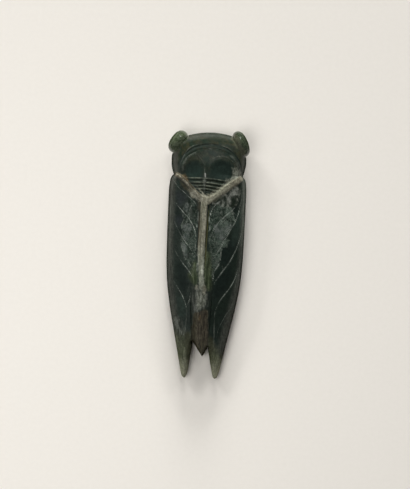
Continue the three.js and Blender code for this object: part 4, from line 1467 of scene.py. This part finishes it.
# painted sheen: the rim of the wings is painted lighter, a painted reflection of the bright paper where the
# edge turns to the side
margin = 2.5 - toward_right * 0.6 + toward_right * toward_tail
painted_rim_sheen = off_eye * (1 - toward_head * 0.4) * until(edge + ragged * 0.8, margin - 1.4, margin)
fully_right = toward_right * soft(y_mm, 0.0, 8.0) * (1 - toward_head)
rim_sheen_stone = layered(
    blend((46, 50, 41), (44, 51, 42), toward_right),
    ((78, 90, 74), fully_right),
    ((44, 48, 39), toward_right * toward_tail),
)
rim_sheen_stone = rim_sheen_stone * (0.35 + lengthwise * 0.8 + strands * 0.45)
ground = layered(
    ground,
    (rim_sheen_stone, painted_rim_sheen),
    # painted shade: a dark outline along the very edge of the wings, where the rim turns away from the
    # light
    ((10, 11, 7), off_eye * (1 - toward_head) * until(edge, 0.15, 0.6) * 0.3),
)
print("nodes with the ground:", len(finish.nodes))

# %% [markdown]
# Weathering has bleached the stone from its surface inwards, first along the finest cracks. That is
# why a cloud isn't a plain grey: it is a green with lighter crumbs and dark pores in it, and the
# palest patches are crumbs only.

# %% Mix the clouds and the frost
cloud = soft(mark("cloud") + ragged * 1.6 + (mottle - 0.5) * 2.0, -0.15, 0.2)
off_stem = x_mm + 0.7
from_stem = soft(off_stem.worked("ABSOLUTE", off_stem), 2.2, 5.5)
grey_green = blend((28, 42, 31), (62, 80, 64), from_stem)
cloud_stone = layered(
    two_tone((10, 18, 12), grey_green, mottle + (grain - 0.5) * 0.5, 0.42, 0.58),
    ((125, 145, 120), web(0.8, 31.0, 0.035) * 0.7),
    ((6, 12, 8), soft(grain, 0.56, 0.66) * 0.7),
    ((150, 168, 144), until(grain, 0.34, 0.42) * (0.2 + from_stem * 0.5)),
)
cloud_stone = cloud_stone * (0.56 + toward_right * 0.42 + soft(clouding, 0.4, 0.6) * 0.42)
pale_cloud = blend((35, 47, 39), (125, 140, 128), until(grain, 0.38, 0.60))
frost_stone = two_tone((18, 26, 18), (190, 200, 168), rime, 0.46, 0.60)
bright_frost = patch("bright_frost", 0.35, 1.8, 1.6) * (0.45 + crumbs * 0.5)
ground = layered(
    ground,
    (cloud_stone, cloud),
    (pale_cloud, patch("pale_cloud", 0.25, 1.6) * 0.75),
    (frost_stone, patch("frost", 0.3, 2.0) * 0.9),
    ((225, 235, 205), bright_frost),
    ((10, 17, 10), patch("dark_frost", 0.2, 1.0) * 0.75),
)
print("nodes with the clouds:", len(finish.nodes))

# %% Mix the stone beside and behind the stem
left_edge = until(x_mm, -2.0, -0.9)
olive_stone = two_tone((28, 40, 18), (68, 84, 47), lengthwise, 0.42, 0.60)
olive_stone = olive_stone * (0.7 + strands * 0.5)
smoke_stone = two_tone((24, 29, 23), (98, 105, 90), lengthwise, 0.42, 0.62)
ash_stone = two_tone((70, 77, 58), (228, 239, 194), rime, 0.38, 0.60)
ash_stone = ash_stone * (1 - left_edge * 0.55)
brown_stone = layered(
    two_tone((45, 39, 27), (63, 55, 38), lengthwise, 0.40, 0.60),
    ((46, 43, 27), until(y_mm, -27.0, -22.5) * 0.8),
    ((70, 62, 42), mark("tan_streak") * 0.3),
    ((14, 12, 7), mark("dark_streak") * 0.4),
    ((30, 28, 16), left_edge * 0.8),
)
brown_stone = brown_stone * (0.62 + strands * 0.72)

slant = most(x_mm - 1.2, 0.0) * 1.2
tips = until(y_mm + ragged * 3.0 + slant, -26.0, -20.5) * (1 - patch("brown", 0.2, 0.9))
tip_stone = layered(
    two_tone((59, 66, 35), (110, 118, 74), lengthwise, 0.4, 0.62),
    ((275, 277, 193), until(y_mm, -33.8, -28.5) * 0.9),
)
tip_stone = tip_stone * (0.8 + toward_right * 0.12 + strands * 0.4)
ground = layered(
    ground,
    (olive_stone, patch("olive", 0.6, 1.8) * 0.9),
    (smoke_stone, patch("smoke", 0.7, 1.6)),
    (ash_stone, patch("ash", 0.55, 1.8, 1.0) * 0.92),
    (brown_stone, patch("brown", 0.3, 1.6)),
    (tip_stone, tips * 0.8),
    ((31, 33, 18), patch("tip_shade", 0.5, 1.2) * 0.85),
)
print("nodes with the abdomen and the tips:", len(finish.nodes))

# %% [markdown]
# The raised Y keeps the pale skin of the pebble, which spreads past its edges where its arms meet.
# So its colour follows the carving's own mark first, and the patches of chalk and crust after that.

# %% Mix the raised Y
toward_heart = until(x_mm, 4.0, 7.5)
arm_stone = layered(
    two_tone((112, 105, 75), (200, 190, 140), noise(0.9, 3, 0.6, 43.0), 0.4, 0.6),
    ((225, 225, 165), toward_heart * (0.5 + soft(speckle, 0.4, 0.6) * 0.4)),
)
tan_stone = two_tone((42, 38, 24), (86, 74, 48), noise(1.1, 3, 0.6, 47.0), 0.4, 0.6)
groove_stone = two_tone((42, 36, 23), (50, 51, 17), x_mm, -1.4, -0.6)
strip_stone = two_tone((140, 150, 112), (320, 335, 268), lengthwise, 0.38, 0.60)
stem_stone = two_tone((115, 114, 78), (215, 212, 160), lengthwise, 0.38, 0.62)
stem_stone = stem_stone * (0.84 + strands * 0.3)
stem_stone = blend(stem_stone, strip_stone, until(y_mm, -5.0, 5.0))
chalk_stone = two_tone((120, 115, 81), (250, 243, 188), noise(0.8, 3, 0.6, 53.0), 0.4, 0.6)
on_right_arm = soft(mark("right_arm") + ragged * 0.9 + (mottle - 0.5) * 0.8, 0.2, 0.75)
ground = layered(
    ground,
    (groove_stone, soft(mark("stem_groove"), 0.15, 0.6)),
    (strip_stone, patch("strip", 0.3, 1.0, 0.6) * 0.8),
    ((58, 52, 31), patch("umber", 0.6, 1.4) * 0.8),
    (tan_stone, soft(mark("left_arm") + ragged * 0.6, 0.15, 0.65)),
    ((85, 56, 26), patch("ochre", 0.4, 1.4) * 0.6),
    (stem_stone, soft(mark("stem") + ragged * 0.7, 0.3, 0.7)),
    (arm_stone, most(on_right_arm, patch("crust", 0.4, 2.2, 1.0) * 0.65)),
    ((22, 24, 10), patch("dark_frost", 0.2, 0.8) * mark("right_arm") * 0.6),
    (chalk_stone, patch("chalk", 0.4, 2.0, 0.8) * 0.85),
    ((290, 280, 215), mark("bright_edge") * (0.15 + crumbs * 0.6)),
)
print("nodes with the raised Y:", len(finish.nodes))

# %% [markdown]
# A cut line looks light because dust stays in it. The marks that the carving left are laid over the
# stone last, each as strong as its cut is deep. The raised rims, lips, ridges and beads are painted
# lighter, painted highlights where they catch the light, and the grooves of the collar and the disc
# get painted shade. The eyes show the clean stone, which is greener, with a painted dark outline,
# painted shade where they turn away from the light.

# %% Mix the lines and the eyes
scratched = 0.3 + soft(noise(0.9, 3, 0.6, 17.0), 0.35, 0.62) * 0.85
ground = layered(
    ground,
    ((370, 405, 350), mark("vein") * scratched * 0.95),
    ((215, 235, 200), mark("scratch") ** 1.2 * scratched),
    # painted shade in the grooves of the collar and the disc
    ((8, 12, 8), most(mark("collar_groove"), mark("disc_groove")) * 0.35),
    # painted highlights: the raised rim of the disc, the lip of the collar and the ridges of the rings are
    # painted lighter
    ((70, 80, 66), mark("disc_rim") * scratched * 0.7),
    ((120, 132, 110), mark("collar_lip") * scratched),
    ((150, 162, 120), mark("ring_ridge") * scratched),
    ((27, 28, 12), mark("ring_groove") * 0.6),
    ((60, 65, 52), most(mark("keel"), mark("fork") * 0.5) * scratched),
    # painted highlights on the beads and on the crest of the keel
    ((115, 126, 106), mark("beads") * 0.6),
    ((460, 460, 430), mark("keel_light")),
    ((70, 74, 60), mark("belly_cut") * 0.4),
)

eye_out = mark("eye_out")
ragged_out = eye_out + ragged * 0.5
left_eye = two_tone((31, 44, 21), (64, 80, 46), mottle + speckle * 0.5, 0.65, 0.85)
right_inner = two_tone((25, 30, 15), (37, 44, 24), mottle, 0.42, 0.58)
right_outer = two_tone((18, 29, 15), (35, 46, 26), speckle, 0.42, 0.60)
right_eye = two_tone(right_inner, right_outer, ragged_out, -0.35, 0.05)
eye_stone = two_tone(left_eye, right_eye, x_mm, -1.0, 1.0)
# painted shade: a dark outline round the outer side of each eye, where it turns away from the light
eye_stone = blend(eye_stone, (18, 23, 11), soft(ragged_out, 0.5, 0.9) * 0.55)
ground = blend(ground, eye_stone, on_eye)
ground = blend(ground, (72, 76, 49), patch("tan", 0.4, 1.4) * 0.7)
stone_colour = ground * (0.58 + soft(speckle, 0.35, 0.65) * 0.42 + soft(grain, 0.3, 0.7) * 0.42)
print("nodes with the eyes:", len(finish.nodes))

# %% [markdown]
# The back is polished but worn, so it shines softly. Hands have kept a gloss on the crown of each
# eye, and a clear coat gives it there. Along the rim the polish is rubbed off: a second, matt shader
# takes over, and the outline stays dark against the paper.

# %% Polish the stone
eye_gloss = on_eye * until(eye_out, 0.3, 0.75)
shine = 0.32 + speckle * 0.14 + mark("vein") * 0.2 + cloud * 0.1 - eye_gloss * 0.18
height = noise(0.9, 4, 0.55, 23.0) * 0.6 + noise(5.0, 3, 0.6, 29.0) * 0.18
relief = add_node(finish, "ShaderNodeBump", None, {"Strength": 0.3, "Distance": 0.00015, "Height": height})


def surface(tree, **values):
    """A Principled shader; an underscore in a name stands for a space."""
    named = {name.replace("_", " "): value for name, value in values.items()}
    return add_node(tree, "ShaderNodeBsdfPrincipled", None, named)


polished = surface(
    finish,
    Base_Color=stone_colour,
    Roughness=shine,
    IOR=1.62,
    Specular_IOR_Level=0.22,
    Coat_Weight=eye_gloss,
    Coat_Roughness=0.12,
    Normal=relief,
)
rubbed = surface(finish, Base_Color=stone_colour, Roughness=0.9, Specular_IOR_Level=0.0, Normal=relief)
rubbed_share = most(until(edge, 0.2, 1.1), on_eye * soft(eye_out, 0.45, 0.85))
skin = add_node(finish, "ShaderNodeMixShader", None, {"Fac": rubbed_share, 1: polished, 2: rubbed})
add_node(finish, "ShaderNodeOutputMaterial", None, {"Surface": skin})
print("nodes in the finish:", len(finish.nodes))

# %% [markdown]
# ## Smooth where it is smooth
#
# Shading is smooth all over, apart from creases, such as the line where an eye meets the cheek.

# %% Shade the skin
CREASE_DEG = 60

for polygon in stone.polygons:
    polygon.use_smooth = True
stone.set_sharp_from_angle(angle=math.radians(CREASE_DEG))
print("smooth faces:", len(stone.polygons))

# %% [markdown]
# ## The paper
#
# The amulet lies on plain white paper. A very faint unevenness keeps the sheet from looking empty.

# %% Lay the paper
HALF_SHEET = 1.5
FIBRES = 900.0  # waves of the unevenness per metre
corners_of_sheet = [(x * HALF_SHEET, y * HALF_SHEET, 0) for x, y in ((-1, -1), (1, -1), (1, 1), (-1, 1))]
paper_mesh = bpy.data.meshes.new("paper")
paper_mesh.from_pydata(corners_of_sheet, [], [(0, 1, 2, 3)])
paper = placed("paper", paper_mesh)
sheet = bpy.data.materials.new("white_paper")
sheet.use_nodes = True
tree = sheet.node_tree
tree.nodes.clear()
paper_place = add_node(tree, "ShaderNodeTexCoord").out("Object")
fibre = add_node(tree, "ShaderNodeTexNoise", None, {"Vector": paper_place, "Scale": FIBRES, "Detail": 4.0})
tones = {"Factor_Float": fibre, "A_Color": (0.84, 0.8, 0.735), "B_Color": (0.88, 0.84, 0.775)}
paper_colour = add_node(tree, "ShaderNodeMix", {"data_type": "RGBA"}, tones)
paper_shader = surface(tree, Base_Color=paper_colour, Roughness=0.85, Specular_IOR_Level=0.2)
add_node(tree, "ShaderNodeOutputMaterial", None, {"Surface": paper_shader})
paper_mesh.materials.append(sheet)
print(f"paper: {2 * HALF_SHEET:.0f} m wide")

# %% [markdown]
# ## Hand the piece over
#
# The dressed stone takes the place of the solid model, rides on its only body and takes its finish
# from the slot for jade.

# %% Hand the piece over
body.name = "carved_cicada"
stone.name = "carved_cicada"
stone.materials.clear()
stone.materials.append(jade)
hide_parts("cicada")
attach(body, "root")
stone.calc_loop_triangles()
print("triangles:", len(stone.loop_triangles))
